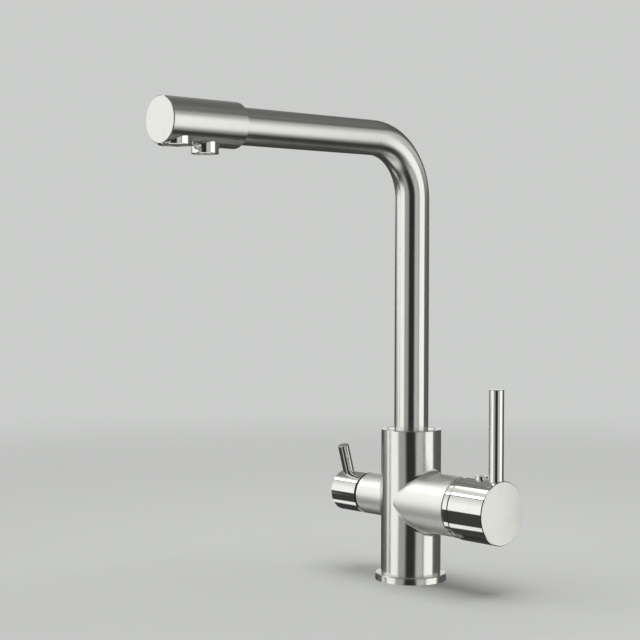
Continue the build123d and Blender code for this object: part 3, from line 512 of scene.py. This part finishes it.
@dataclass(frozen=True)
class PolishedNickel(Finish):
    """Nickel plate buffed bright, with the buffing wheel's faint haze round the piece's axis.

    Attributes:
        axis: The axis it was buffed round.
        coat: Its look outside the haze and in it, with the plate's slight waves as its texture.
        wheel: The haze's lines.
        cloud: Where the haze lies.
        wave: The waves.
        shadow_gap_r: The radius beyond which a painted seam shadow darkens it, in millimetres, or 0
            for none.
        shadow_gap_edge: Half the width over which the painted shadow begins, in millimetres.
        shadow_gap_colour: The painted shadow's colour.
    """

    axis: Lathe
    coat: Coat = Coat((0.835, 0.84, 0.80), (0.80, 0.80, 0.755), 0.035, 0.05, 0.06, 0.00006)
    wheel: Streaks = Streaks(900.0, 1.0, 60.0)
    cloud: Grain = Grain(55.0, 3.0, faint=0.4, full=0.75)
    wave: Grain = Grain(140.0, 1.0)
    shadow_gap_r: float = 0.0
    shadow_gap_edge: float = 0.1
    shadow_gap_colour: Triple = (0.03, 0.03, 0.028)

    def surface(self, nodes: Nodes) -> Socket:
        """Makes the polished metal's shader.

        Args:
            nodes: The material's node tree.

        Returns:
            The shader.
        """
        lay = self.axis.lay(nodes)
        clouds = nodes.patches(lay.offset, self.cloud)
        dulled = nodes.math("MULTIPLY", clouds, nodes.streaks(lay, self.wheel))
        colour = nodes.blend(dulled, self.coat.plain, self.coat.marked)
        # Painted shadow: the rim beyond the given radius is darkened to stand in for the shade in
        # its seam.
        if self.shadow_gap_r:
            inner, outer = self.shadow_gap_r - self.shadow_gap_edge, self.shadow_gap_r + self.shadow_gap_edge
            seam = nodes.ranged(nodes.vector("LENGTH", lay.across), inner * MM, outer * MM)
            colour = nodes.blend(seam, colour, self.shadow_gap_colour)
        roughness = nodes.math("MULTIPLY_ADD", dulled, self.coat.wear, self.coat.roughness)
        waves = nodes.bump(nodes.noise(lay.offset, self.wave), self.coat.relief, self.coat.depth)
        return nodes.shader(colour, roughness, waves, Metallic=1.0)


@dataclass(frozen=True)
class TurnedBrass(Finish):
    """Bare brass as it comes off the lathe, with its tool rings and a thin tarnish.

    Attributes:
        axis: The axis it was turned round.
        coat: Its look where it is fresh and where it has dulled.
        feed: Tool rings to the metre.
        patch: Where it has dulled.
    """

    axis: Lathe
    coat: Coat = Coat((0.80, 0.60, 0.30), (0.55, 0.38, 0.17), 0.24, 0.22, 0.25)
    feed: float = 1500.0
    patch: Grain = Grain(110.0, 4.0, 0.6, 0.42, 0.72)

    def surface(self, nodes: Nodes) -> Socket:
        """Makes the turned brass's shader.

        Args:
            nodes: The material's node tree.

        Returns:
            The shader.
        """
        lay = self.axis.lay(nodes)
        path = nodes.math("ADD", lay.along, nodes.vector("LENGTH", lay.across))
        swing = nodes.math("SINE", nodes.math("MULTIPLY", path, self.feed * 2 * pi))
        ring = nodes.math("MULTIPLY_ADD", swing, 0.5, 0.5)
        return nodes.coated(self.coat, nodes.patches(lay.offset, self.patch), ring)


@dataclass(frozen=True)
class ZincPlate(Finish):
    """Bright zinc on steel: pale blue-grey, with the plating's small mottle.

    Attributes:
        coat: Its look on the darkest crystals and on the palest.
        crystal: Crystals of the plating to the metre.
        crystal_share: Their part of the mottle.
        film: The rest of it.
    """

    coat: Coat = Coat((0.52, 0.54, 0.57), (0.70, 0.72, 0.74), 0.22, 0.25, 0.1)
    crystal: float = 700.0
    crystal_share: float = 0.4
    film: Grain = Grain(90.0, 3.0)

    def surface(self, nodes: Nodes) -> Socket:
        """Makes the zinc plate's shader.

        Args:
            nodes: The material's node tree.

        Returns:
            The shader.
        """
        place = nodes.place()
        cells = nodes.add("TexVoronoi", Vector=place, Scale=self.crystal)
        tone, _, _ = nodes.split(cells.outputs["Color"])
        film = nodes.math("MULTIPLY", nodes.noise(place, self.film), 1.0 - self.crystal_share)
        mottle = nodes.math("MULTIPLY_ADD", tone, self.crystal_share, film)
        return nodes.coated(self.coat, mottle, mottle)


@dataclass(frozen=True)
class StainlessSteel(Finish):
    """Drawn and turned stainless steel, with fine lines along or round the piece.

    Attributes:
        axis: The axis it was turned round.
        coat: Its look between its lines and on them.
        lines: Its fine lines.
    """

    axis: Lathe
    coat: Coat = Coat((0.56, 0.55, 0.53), (0.66, 0.65, 0.63), 0.2, 0.15, 0.1)
    lines: Streaks = Streaks(3000.0, 1.0, 90.0)

    def surface(self, nodes: Nodes) -> Socket:
        """Makes the stainless steel's shader."""
        mark = nodes.streaks(self.axis.lay(nodes), self.lines)
        return nodes.coated(self.coat, mark, mark)


@dataclass(frozen=True)
class SealRubber(Finish):
    """Black moulded rubber with a faint grey bloom.

    Attributes:
        black: Its look where it is clean and where the bloom lies.
        bloom: Where the bloom lies.
        pores: The rubber's pores.
    """

    black: Coat = Coat(
        (0.014, 0.014, 0.015), (0.045, 0.045, 0.047), 0.5, 0.22, 0.3, 0.00003, ior=1.52
    )
    bloom: Grain = Grain(160.0, 4.0, 0.65, 0.45, 0.75)
    pores: Grain = Grain(1800.0)

    def surface(self, nodes: Nodes) -> Socket:
        """Makes the rubber's shader."""
        bloom = nodes.patches(nodes.place(), self.bloom)
        return nodes.coated(self.black, bloom, nodes.noise(nodes.place(), self.pores))


@dataclass(frozen=True)
class LappedCeramic(Finish):
    """The valve discs' white alumina, lapped to a silky face with faint grey marks.

    Attributes:
        white: Its look between the lapping's marks and on them.
        lapping: Where the lapping shows.
    """

    white: Coat = Coat(
        (0.84, 0.83, 0.79), (0.70, 0.69, 0.66), 0.16, 0.2, 0.05, 0.00001, ior=1.76
    )
    lapping: Grain = Grain(420.0, 5.0, 0.7, 0.5, 0.8)

    def surface(self, nodes: Nodes) -> Socket:
        """Makes the ceramic's shader."""
        lapping = nodes.patches(nodes.place(), self.lapping)
        return nodes.coated(self.white, lapping, lapping)


class Moulding(Enum):
    """The tap's moulded plastics, each by its look outside its faint flow marks and in them."""

    CARTRIDGE = Coat((0.62, 0.63, 0.62), (0.54, 0.55, 0.55), 0.32, 0.12, 0.15, ior=1.48)
    INSERT = Coat((0.72, 0.73, 0.72), (0.64, 0.65, 0.65), 0.28, 0.12, 0.15, ior=1.48)
    WATER_TUBE = Coat((0.80, 0.81, 0.79), (0.71, 0.73, 0.71), 0.24, 0.12, 0.15, ior=1.48)


@dataclass(frozen=True)
class MouldedPlastic(Finish):
    """Injection-moulded plastic, with the mould's fine texture and faint flow marks.

    Attributes:
        moulding: Which of the tap's plastics it is.
        flow: Where the flow marks lie.
        texture: The mould's texture.
    """

    moulding: Moulding
    flow: Grain = Grain(70.0, 3.0, 0.55, 0.35, 0.7)
    texture: Grain = Grain(2400.0)

    def surface(self, nodes: Nodes) -> Socket:
        """Makes the plastic's shader.

        Args:
            nodes: The material's node tree.

        Returns:
            The shader.
        """
        place = nodes.place()
        flow, texture = nodes.noise(place, self.flow), nodes.noise(place, self.texture)
        marks = nodes.ranged(flow, self.flow.faint, self.flow.full)
        return nodes.coated(self.moulding.value, marks, texture, spread=flow)


def select(*pieces: Piece) -> None:
    """Selects only these pieces, the first one active, in object mode."""
    if bpy.context.object and bpy.context.object.mode != "OBJECT":
        bpy.ops.object.mode_set(mode="OBJECT")
    bpy.ops.object.select_all(action="DESELECT")
    for piece in reversed(pieces):
        piece.select_set(True)
        bpy.context.view_layer.objects.active = piece


def pick(piece: Piece, domain: str, wanted: Callable[..., bool]) -> None:
    """Selects only the wanted faces or vertices of the active piece, and leaves it in edit mode.

    Args:
        piece: The piece.
        domain: FACE or VERT.
        wanted: A function that takes a polygon or vertex and says whether it is wanted.
    """
    bpy.ops.object.mode_set(mode="EDIT")
    bpy.ops.mesh.select_mode(type=domain)
    bpy.ops.mesh.select_all(action="DESELECT")
    bpy.ops.object.mode_set(mode="OBJECT")
    for element in piece.data.polygons if domain == "FACE" else piece.data.vertices:
        element.select = wanted(element)
    bpy.ops.object.mode_set(mode="EDIT")


def lies_level(face: bpy.types.MeshPolygon) -> bool:
    """Says whether a face looks straight up or down."""
    return abs(face.normal.z) > STRAIGHT_UP


def join(*pieces: Piece) -> Piece:
    """Joins pieces into the first.

    Args:
        *pieces: The pieces.

    Returns:
        The first piece, which now holds them all.
    """
    select(*pieces)
    bpy.ops.object.join()
    return pieces[0]


@dataclass(frozen=True)
class Panel:
    """One soft panel or flag of the studio, far from the tap.

    Attributes:
        name: What it is.
        start: The azimuth of its first side, in degrees from +X towards +Y.
        end: The azimuth of its second side.
        low: Its lower edge above the horizon, in degrees.
        high: Its upper edge above the horizon, in degrees.
        soft: How wide its sides fade, in degrees.
        soft_height: How wide its top and foot fade, in degrees.
        level: Its brightness, where 1 is white.
    """

    name: str
    start: float
    end: float
    low: float
    high: float
    soft: float
    soft_height: float
    level: float


PANELS = (
    Panel("room", -200, 200, -120, 120, 4, 4, 0.24),
    Panel("ceiling", -200, 200, 50, 120, 4, 6, 0.12),
    Panel("ground", -200, 200, -120, -12, 4, 10, 0.055),
    Panel("dark_side", 49, 128, -120, 42, 6, 10, 0.10),
    Panel("dark_ground", 40, 170, -120, -36, 10, 14, 0.035),
    Panel("back_flag", 128, 188, -14, 2.5, 8, 3, 0.07),
    Panel("back_lift", 112, 160, 2.5, 15, 8, 4, 0.85),
    Panel("collar_wing", 48, 84, 7, 31, 5, 6, 0.60),
    Panel("low_glow", -200, 200, -120, -66, 4, 12, 0.85),
    Panel("left_softbox", -172, -93, -30, 52, 18, 6, 0.72),
    Panel("left_softbox_heart", -168, -93, -30, 24, 18, 24, 1.06),
    Panel("left_ground", -176, -97, -56, -4, 10, 3, 0.05),
    Panel("left_softbox_wing", -151.5, -139, -14, 4, 2, 5, 1.10),
    Panel("left_softbox_rib", -135.5, -134.2, -10, 0, 0.5, 2, 2.2),
    Panel("left_softbox_skirt", -130.4, -93, -26, 10, 2, 10, 1.12),
    Panel("key_strip", -164, -134, 36, 40, 6, 1, 4.5),
    Panel("key_frame", -168, -130, 33.6, 35.2, 6, 0.8, 0.25),
    Panel("ground_streak", -172, -138, -44.5, -37, 8, 2, 0.95),
    Panel("high_left_strip", 142, 206, 47, 51, 10, 3, 1.60),
    Panel("left_fill", -97, -67, -50, 60, 6, 20, 0.39),
    Panel("flag", -67, -26, -60, 50, 9, 20, 0.028),
    Panel("right_fill", -27, 5, -40, 60, 9, 20, 0.56),
    Panel("right_softbox", 5, 49.2, -31, 19, 5, 26, 1.18),
    Panel("right_softbox_edge", 46, 49.4, -40, 30, 3, 6, 0.86),
    Panel("right_frame", 1, 4.5, -60, 60, 2, 20, 0.08),
)


@dataclass
class Studio:
    """The floor, the light and the camera.

    Attributes:
        camera_place: Where the camera stands, in millimetres.
        yaw: The camera's turn from +Y towards -X, in degrees.
        pitch: How far it looks down, in degrees.
        roll: How far it leans, in degrees.
        lens: Its focal length, in millimetres.
        sensor: Its sensor's width, in millimetres.
        tint: The panels' colour.
        pale: The floor's and backdrop's colour.
        floor_r: The floor's radius, in metres.
        floor_sides: The sides of its rim.
        near_r: How far out the floor is lit alone, in metres.
        far_r: Where it is the plain backdrop, in metres.
        lamp_height: The overhead lamp's height, in metres.
        lamp_side: Its side, in metres.
        lamp_power: Its power, in watts.
        sky_map: The world's sampling resolution.
    """

    camera_place: Triple = (741.62, -751.60, 215.19)
    yaw: float = 48.12
    pitch: float = 1.78
    roll: float = 0.15
    lens: float = 84.375
    sensor: float = 36.0
    tint: Triple = (1.0, 1.0, 0.99)
    pale: Triple = (0.60, 0.61, 0.60)
    floor_r: float = 6.0
    floor_sides: int = 96
    near_r: float = 0.35
    far_r: float = 1.3
    lamp_height: float = 1.5
    lamp_side: float = 1.4
    lamp_power: float = 18.6
    sky_map: int = 1024

    def set_camera(self) -> None:
        """Makes the camera at the photograph's viewing angle."""
        yaw, pitch, roll = radians(self.yaw), radians(self.pitch), radians(self.roll)
        ahead = Vector((-sin(yaw) * cos(pitch), cos(yaw) * cos(pitch), -sin(pitch)))
        level = Vector((cos(yaw), sin(yaw), 0.0))
        upright = level.cross(ahead)
        right = level * cos(roll) + upright * sin(roll)
        up = upright * cos(roll) - level * sin(roll)
        data = bpy.data.cameras.new("photo_camera")
        data.sensor_width = self.sensor
        data.lens = self.lens
        camera = bpy.data.objects.new("photo_camera", data)
        bpy.context.scene.collection.objects.link(camera)
        turn = Matrix((right, up, -ahead)).transposed().to_4x4()
        camera.matrix_world = Matrix.Translation(Vector(self.camera_place) * MM) @ turn
        bpy.context.scene.camera = camera

    def lay_floor(self) -> None:
        """Makes the plain pale floor, which fades into the backdrop and is clear from below."""
        select()
        sides, radius = self.floor_sides, self.floor_r
        bpy.ops.mesh.primitive_circle_add(vertices=sides, radius=radius, fill_type="NGON")
        floor = bpy.context.object
        floor.name = "floor"
        material = bpy.data.materials.new("pale_floor")
        material.use_nodes = True
        nodes = Nodes(material.node_tree)
        far = nodes.ranged(nodes.vector("LENGTH", nodes.place()), self.near_r, self.far_r)
        lit = nodes.add("BsdfDiffuse", Color=self.pale)
        plain = nodes.add("Emission", Color=self.pale, Strength=1.0)
        upper = nodes.add("MixShader", None, (far, lit.outputs[0], plain.outputs[0]))
        below = nodes.add("NewGeometry").outputs["Backfacing"]
        clear = nodes.add("BsdfTransparent").outputs[0]
        both = nodes.add("MixShader", None, (below, upper.outputs[0], clear))
        nodes.add("OutputMaterial", Surface=both.outputs[0])
        floor.data.materials.append(material)
        floor.visible_glossy = False

    def hang_lamp(self) -> None:
        """Hangs one large soft lamp over the tap, for the floor's light and shadow."""
        data = bpy.data.lights.new("overhead_lamp", "AREA")
        data.shape = "SQUARE"
        data.size = self.lamp_side
        data.energy = self.lamp_power
        lamp = bpy.data.objects.new("overhead_lamp", data)
        bpy.context.scene.collection.objects.link(lamp)
        lamp.location = (0.0, 0.0, self.lamp_height)
        lamp.visible_camera = False
        lamp.visible_glossy = False

    def paint_world(self) -> None:
        """Makes the plain backdrop, with soft panels and flags in front of it for the metal."""
        world = bpy.data.worlds.new("studio")
        bpy.context.scene.world = world
        world.use_nodes = True
        nodes = Nodes(world.node_tree)
        gaze = nodes.add("TexCoord").outputs["Generated"]
        _, _, height = nodes.split(gaze)
        rise = nodes.math("ARCSINE", nodes.between(height, -1.0, 1.0))
        level_gaze = nodes.vector("NORMALIZE", nodes.vector("MULTIPLY", gaze, (1.0, 1.0, 0.0)))
        level: object = self.pale[1]
        for panel in PANELS:
            turn = radians((panel.start + panel.end) / 2)
            nearness = nodes.vector("DOT_PRODUCT", level_gaze, (cos(turn), sin(turn), 0.0))
            aside = nodes.math("ARCCOSINE", nodes.between(nearness, -1.0, 1.0))
            half, soft, tall = (panel.end - panel.start) / 2, panel.soft / 2, panel.soft_height / 2
            low, high = panel.low, panel.high
            sides = nodes.ranged(aside, radians(half - soft), radians(half + soft), 1.0, 0.0)
            foot = nodes.ranged(rise, radians(low - tall), radians(low + tall))
            top = nodes.ranged(rise, radians(high - tall), radians(high + tall), 1.0, 0.0)
            mask = nodes.math("MULTIPLY", sides, nodes.math("MULTIPLY", foot, top))
            change = nodes.math("SUBTRACT", panel.level, level)
            level = nodes.math("MULTIPLY_ADD", change, mask, level)
        panels = nodes.scaled(self.tint, level)
        seen = nodes.blend(nodes.add("LightPath").outputs["Is Camera Ray"], panels, self.pale)
        background = nodes.add("Background", Color=seen, Strength=1.0)
        nodes.add("OutputWorld", Surface=background.outputs[0])
        world.cycles.sampling_method = "MANUAL"
        world.cycles.sample_map_resolution = self.sky_map

    def build(self) -> None:
        """Makes the whole studio."""
        self.set_camera()
        self.lay_floor()
        self.hang_lamp()
        self.paint_world()
        bpy.context.scene.view_settings.view_transform = "Standard"
        log.info("studio: floor, overhead lamp, %d panels and the camera", len(PANELS))


@dataclass
class SubAssembly:
    """A group of pieces that belong together on the tap.

    Attributes:
        dressed: The CAD nodes that have got their finish, in order.
    """

    dressed: list[str] = field(default_factory=list)

    def dress(self, finish: Finish, name: str, *nodes: str) -> Material:
        """Makes a finish's material, gives it to CAD nodes and reports each.

        Args:
            finish: The finish.
            name: The material's name.
            *nodes: The nodes' names.

        Returns:
            The material.
        """
        material = finish.make(name)
        for node in nodes:
            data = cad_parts[node].data
            data.materials.clear()
            data.materials.append(material)
            self.dressed.append(node)
            log.info("%s: %s in %s", type(self).__name__, node, name)
        return material

    def finish_piece(
        self, piece: Piece, name: str, material: Material, body: Body, slot: Slot
    ) -> None:
        """Names, dresses and fixes a piece made here to its body.

        Args:
            piece: The piece, made in its place.
            name: Its name.
            material: Its finish.
            body: The body it moves with.
            slot: The record's finish that it takes; not used.
        """
        select(piece)
        bpy.ops.object.transform_apply(location=True, rotation=True, scale=True)
        piece.name = name
        piece.data.name = name
        piece.data.materials.clear()
        piece.data.materials.append(material)
        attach(piece, body.value)
        log.info("%s: made %s in %s", type(self).__name__, name, material.name)


@dataclass
class ColumnAndBase(SubAssembly):
    """The column with its two branches, its flange, and the inlet block in its foot.

    Attributes:
        column_r: The column's radius, in millimetres.
        blend_r: The fillets' radius where the branches leave it.
        gland_shadow_r: Where the painted shadow that stands in for the gland ring's seam begins.
    """

    column_r: float = 21.0
    blend_r: float = 0.6
    gland_shadow_r: float = 16.1

    def build(self) -> None:
        """Dresses the column, flange, inlet block and their seals."""
        axes = CrossedLathes(COLUMN_AXIS, BRANCH_AXIS, self.column_r, self.blend_r)
        # The gland ring's rim gets a painted shadow: a dark ring in place of the shade in its seam.
        gland = PolishedNickel(COLUMN_AXIS, shadow_gap_r=self.gland_shadow_r)
        self.dress(SatinNickel(axes), "satin_nickel_column", "body_column")
        self.dress(SatinNickel(COLUMN_AXIS), "satin_nickel_flange", "base_flange")
        self.dress(gland, "polished_nickel_gland", "gland_ring")
        self.dress(TurnedBrass(COLUMN_AXIS), "turned_brass_block", "inlet_block")
        self.dress(SealRubber(), "seal_rubber_base", "base_seal", "inlet_block_seals")


@dataclass
class DeckFixings(SubAssembly):
    """The threaded stud, rubber pad, clamp plate and nut under the deck.

    Attributes:
        stud_place: The stud's axis across the tap, in millimetres.
        stud_r: Its thread's radius.
        thread_depth: The thread's depth.
        pitch: The thread's rise in one turn.
        foot: The stud's lower end.
        top: Its upper end.
        end_edge: The bevel of its ends.
        core_sides: Sides of its round core.
        steps: Steps to one turn of the thread.
        sunk: How deep the thread's ridge reaches into the core.
        root_width: The ridge's width at its root, as a part of the rise in one turn.
        crest_width: Its width at its crest, as a part of that at its root.
    """

    stud_place: tuple[float, float] = (-8.84, 8.84)
    stud_r: float = 4.0
    thread_depth: float = 0.65
    pitch: float = 1.25
    foot: float = -62.0
    top: float = 39.5
    end_edge: float = 0.6
    core_sides: int = 40
    steps: int = 20
    sunk: float = 0.1
    root_width: float = 0.75
    crest_width: float = 0.2

    def cut_core(self) -> Piece:
        """Makes the stud's core, with bevelled ends.

        Returns:
            The core.
        """
        select()
        middle = (*(value * MM for value in self.stud_place), (self.foot + self.top) / 2 * MM)
        bpy.ops.mesh.primitive_cylinder_add(
            vertices=self.core_sides,
            radius=(self.stud_r - self.thread_depth) * MM,
            depth=(self.top - self.foot) * MM,
            location=middle,
        )
        core = bpy.context.object
        pick(core, "FACE", lies_level)
        bpy.ops.mesh.bevel(offset=self.end_edge * MM, segments=1, affect="EDGES")
        select()
        return core

    def wind_thread(self) -> Piece:
        """Makes the thread's ridge: a flat-topped profile screwed up the stud, with closed ends.

        Returns:
            The ridge.
        """
        select()
        depth = self.thread_depth + self.sunk
        start = Vector((*self.stud_place, self.foot + self.pitch)) * MM
        bpy.ops.mesh.primitive_plane_add(size=1.0, location=start, rotation=(pi / 2, 0.0, 0.0))
        ridge = bpy.context.object
        bpy.ops.object.transform_apply(location=False, rotation=True, scale=False)
        pick(ridge, "FACE", lambda face: True)
        bpy.ops.transform.resize(value=(depth * MM, 1.0, self.pitch * self.root_width * MM))
        bpy.ops.transform.translate(value=((self.stud_r - depth / 2) * MM, 0.0, 0.0))
        bpy.ops.mesh.delete(type="ONLY_FACE")
        pick(ridge, "VERT", lambda vertex: vertex.co.x > (self.stud_r - depth / 2) * MM)
        bpy.ops.transform.resize(value=(1.0, 1.0, self.crest_width))
        select(ridge)
        screw = ridge.modifiers.new("thread", "SCREW")
        screw.axis = "Z"
        screw.screw_offset = self.pitch * MM
        screw.iterations = int((self.top - self.foot - 2 * self.pitch) / self.pitch)
        screw.steps = self.steps
        screw.render_steps = self.steps
        bpy.ops.object.modifier_apply(modifier=screw.name)
        bpy.ops.object.mode_set(mode="EDIT")
        bpy.ops.mesh.select_mode(type="VERT")
        bpy.ops.mesh.select_all(action="SELECT")
        bpy.ops.mesh.fill_holes(sides=4)
        bpy.ops.mesh.select_all(action="SELECT")
        bpy.ops.mesh.normals_make_consistent(inside=False)
        select()
        return ridge

    def build(self) -> None:
        """Makes the threaded stud, and dresses the pad, clamp plate and nut."""
        zinc = self.dress(ZincPlate(), "zinc_plate_fixings", "mounting_stud", "mounting_clamp")
        stud = join(self.cut_core(), self.wind_thread())
        self.finish_piece(stud, "threaded_stud", zinc, Body.COLUMN, Slot.ZINC_PLATED_STEEL)
        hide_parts("mounting_stud")
        nut_axis = Lathe((*self.stud_place, 0.0), UP)
        self.dress(TurnedBrass(nut_axis), "turned_brass_nut", "mounting_nut")
        self.dress(SealRubber(), "seal_rubber_pad", "mounting_pad")
        # A deck hides these from the tap, so its metal doesn't reflect them.
        for piece in (stud, *(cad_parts[node] for node in self.dressed)):
            piece.visible_glossy = False


@dataclass
class Spout(SubAssembly):
    """The swivel's foot, the bent tube and the filtered water's tube inside it.

    Attributes:
        bend_r: The bend's radius, in millimetres.
        spout_z: The level run's height.
    """

    bend_r: float = 40.0
    spout_z: float = SPOUT_Z

    def build(self) -> None:
        """Dresses the tube and all that turns with it in the column."""
        axis = BentLathe(self.bend_r, self.spout_z)
        washers = MouldedPlastic(Moulding.CARTRIDGE)
        self.dress(SatinNickel(axis), "satin_nickel_tube", "spout_tube")
        self.dress(TurnedBrass(COLUMN_AXIS), "turned_brass_spout_foot", "spout_foot")
        self.dress(SealRubber(), "seal_rubber_swivel", "spout_foot_seals", "inner_tube_seal")
        self.dress(washers, "plastic_washers", "upper_glide_washer", "lower_glide_washer")
        self.dress(MouldedPlastic(Moulding.WATER_TUBE), "plastic_water_tube", "inner_tube")


@dataclass
class Head(SubAssembly):
    """The spout's head with its collar, its inner block and its two outlets.

    Attributes:
        spout_z: The head's axis above the deck, in millimetres.
        main_y: The main outlet's place along the head.
        filtered_y: The filtered outlet's place along the head.
        mouth_z: The main outlet's mouth.
        screen_r: The radius of the aerator's wire screen.
        screen_rise: The screen's height above the mouth.
        mesh_count: Meshes across the screen.
        wire: The wire's thickness.
        rim: The width of the screen's pressed rim.
        rim_sides: Sides of the round rim.
        rim_height: Its height, in thicknesses of the wire.
    """

    spout_z: float = SPOUT_Z
    main_y: float = -205.2
    filtered_y: float = -182.5
    mouth_z: float = 293.0
    screen_r: float = 9.35
    screen_rise: float = 0.42
    mesh_count: int = 22
    wire: float = 0.2
    rim: float = 0.9
    rim_sides: int = 64
    rim_height: float = 2.2

    def weave_screen(self) -> Piece:
        """Makes the aerator's round wire screen inside its pressed rim.

        Returns:
            The screen.
        """
        middle = Vector((0.0, self.main_y, self.mouth_z + self.screen_rise)) * MM
        select()
        bpy.ops.mesh.primitive_grid_add(
            x_subdivisions=self.mesh_count,
            y_subdivisions=self.mesh_count,
            size=2 * self.screen_r * MM,
            location=middle,
        )
        wires = bpy.context.object
        reach = (self.screen_r - self.rim / 2) * MM
        corners = wires.data.vertices
        pick(wires, "FACE", lambda face: max(corners[i].co.length for i in face.vertices) > reach)
        bpy.ops.mesh.delete(type="FACE")
        select(wires)
        lattice = wires.modifiers.new("wire", "WIREFRAME")
        lattice.thickness = self.wire * MM
        bpy.ops.object.modifier_apply(modifier=lattice.name)
        select()
        bpy.ops.mesh.primitive_cylinder_add(
            vertices=self.rim_sides,
            radius=self.screen_r * MM,
            depth=self.rim_height * self.wire * MM,
            location=middle,
        )
        ring = bpy.context.object
        pick(ring, "FACE", lies_level)
        bpy.ops.mesh.inset(thickness=self.rim * MM, use_individual=True)
        bpy.ops.mesh.bridge_edge_loops()
        return join(wires, ring)

    def build(self) -> None:
        """Dresses the head and its outlets, and makes the aerator's screen."""
        head_axis = Lathe((0.0, 0.0, self.spout_z), (0.0, -1.0, 0.0))
        main_axis = Lathe((0.0, self.main_y, 0.0), UP)
        second_axis = Lathe((0.0, self.filtered_y, 0.0), UP)
        inserts = "head_manifold", "aerator_insert", "filter_nozzle_insert"
        seals = "manifold_seal", "aerator_seal", "filter_nozzle_seal"
        self.dress(SatinNickel(head_axis), "satin_nickel_head", "head_shell", "head_collar")
        self.dress(PolishedNickel(main_axis), "polished_nickel_main_outlet", "aerator_housing")
        self.dress(PolishedNickel(second_axis), "polished_nickel_filtered_outlet", "filter_nozzle")
        self.dress(MouldedPlastic(Moulding.INSERT), "plastic_inserts", *inserts)
        self.dress(SealRubber(), "seal_rubber_head", *seals)
        steel = StainlessSteel(main_axis).make("stainless_screen")
        screen = self.weave_screen()
        self.finish_piece(screen, "aerator_screen", steel, Body.SPOUT, Slot.STAINLESS_STEEL)


@dataclass
class MixerCartridge(SubAssembly):
    """The mixer's cartridge in its branch, under the trim ring and the dome."""

    def build(self) -> None:
        """Dresses the cartridge, its nut and the covers over it."""
        parts = "cartridge_foot", "cartridge_housing", "cartridge_carrier", "cartridge_disc_coupler"
        discs = "cartridge_fixed_disc", "cartridge_moving_disc"
        seals = "cartridge_port_seals", "cartridge_carrier_seal"
        pins = "cartridge_pivot_pin", "lever_stem"
        self.dress(PolishedNickel(BRANCH_AXIS), "polished_nickel_trim", "trim_ring", "dome_cover")
        self.dress(TurnedBrass(BRANCH_AXIS), "turned_brass_cartridge_nut", "cartridge_nut")
        self.dress(MouldedPlastic(Moulding.CARTRIDGE), "plastic_cartridge", *parts)
        self.dress(LappedCeramic(), "ceramic_mixer_discs", *discs)
        self.dress(SealRubber(), "seal_rubber_cartridge", *seals)
        self.dress(StainlessSteel(BRANCH_AXIS), "stainless_stem", *pins)


@dataclass
class MixerHandle(SubAssembly):
    """The round handle on the mixer branch, with its pin and its screw.

    Attributes:
        pin_x: The pin's axis along the branch, in millimetres.
        screw_x: The screw's axis along the branch.
    """

    pin_x: float = 79.4
    screw_x: float = 66.2

    def build(self) -> None:
        """Dresses the handle, its pin and its screw."""
        pin_axis = Lathe((self.pin_x, 0.0, 0.0), UP)
        screw_axis = Lathe((self.screw_x, 0.0, 0.0), UP)
        self.dress(PolishedNickel(BRANCH_AXIS), "polished_nickel_handle", "handle_cup")
        self.dress(PolishedNickel(pin_axis), "polished_nickel_pin", "lever_pin")
        self.dress(PolishedNickel(screw_axis), "polished_nickel_screw", "handle_screw")


@dataclass
class FilterTap(SubAssembly):
    """The filtered water's valve in its branch, with its knob and leaning pin.

    Attributes:
        pin_x: The pin's axis along the branch, in millimetres.
        branch_z: The branch's height.
        lean: The pin's lean towards the front, in degrees.
        gap_shaded_brass: The valve's brass, painted darker as painted shade for the gap behind the
            knob.
    """

    pin_x: float = -60.0
    branch_z: float = BRANCH_Z
    lean: float = 16.0
    # Painted shade: these darker brass colours stand in for the shade in the gap behind the knob.
    gap_shaded_brass: Coat = Coat((0.36, 0.30, 0.21), (0.20, 0.16, 0.11), 0.24, 0.22, 0.25)

    def build(self) -> None:
        """Dresses the valve, its knob, its pin and its small hidden pieces."""
        lean = radians(self.lean)
        pin_axis = Lathe((self.pin_x, 0.0, self.branch_z), (0.0, -sin(lean), cos(lean)))
        # The valve's brass is darkened as painted shade for the gap behind the knob.
        valve = TurnedBrass(BRANCH_AXIS, self.gap_shaded_brass)
        discs = "filter_fixed_disc", "filter_moving_disc"
        seals = "filter_seat_seal", "filter_spindle_seal"
        small = "filter_spindle_clip", "filter_grub_screw"
        self.dress(PolishedNickel(BRANCH_AXIS), "polished_nickel_knob", "filter_knob")
        self.dress(PolishedNickel(pin_axis), "polished_nickel_filter_pin", "filter_pin")
        self.dress(valve, "turned_brass_filter_valve", "filter_valve_body", "filter_spindle")
        self.dress(LappedCeramic(), "ceramic_filter_discs", *discs)
        self.dress(SealRubber(), "seal_rubber_filter_valve", *seals)
        self.dress(StainlessSteel(BRANCH_AXIS), "stainless_clip", *small)


def main() -> None:
    """Builds the studio and the sub-assemblies, and stops if a CAD node is left without a finish.
    """
    logging.basicConfig(level=logging.INFO, format="%(name)s: %(message)s")
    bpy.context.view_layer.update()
    Studio().build()
    kinds = (ColumnAndBase, DeckFixings, Spout, Head, MixerCartridge, MixerHandle, FilterTap)
    tap = [kind() for kind in kinds]
    for group in tap:
        group.build()
    missed = set(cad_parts) - {node for group in tap for node in group.dressed}
    if missed:
        raise ValueError("no finish for " + ", ".join(sorted(missed)))


if __name__ == "__main__":
    main()
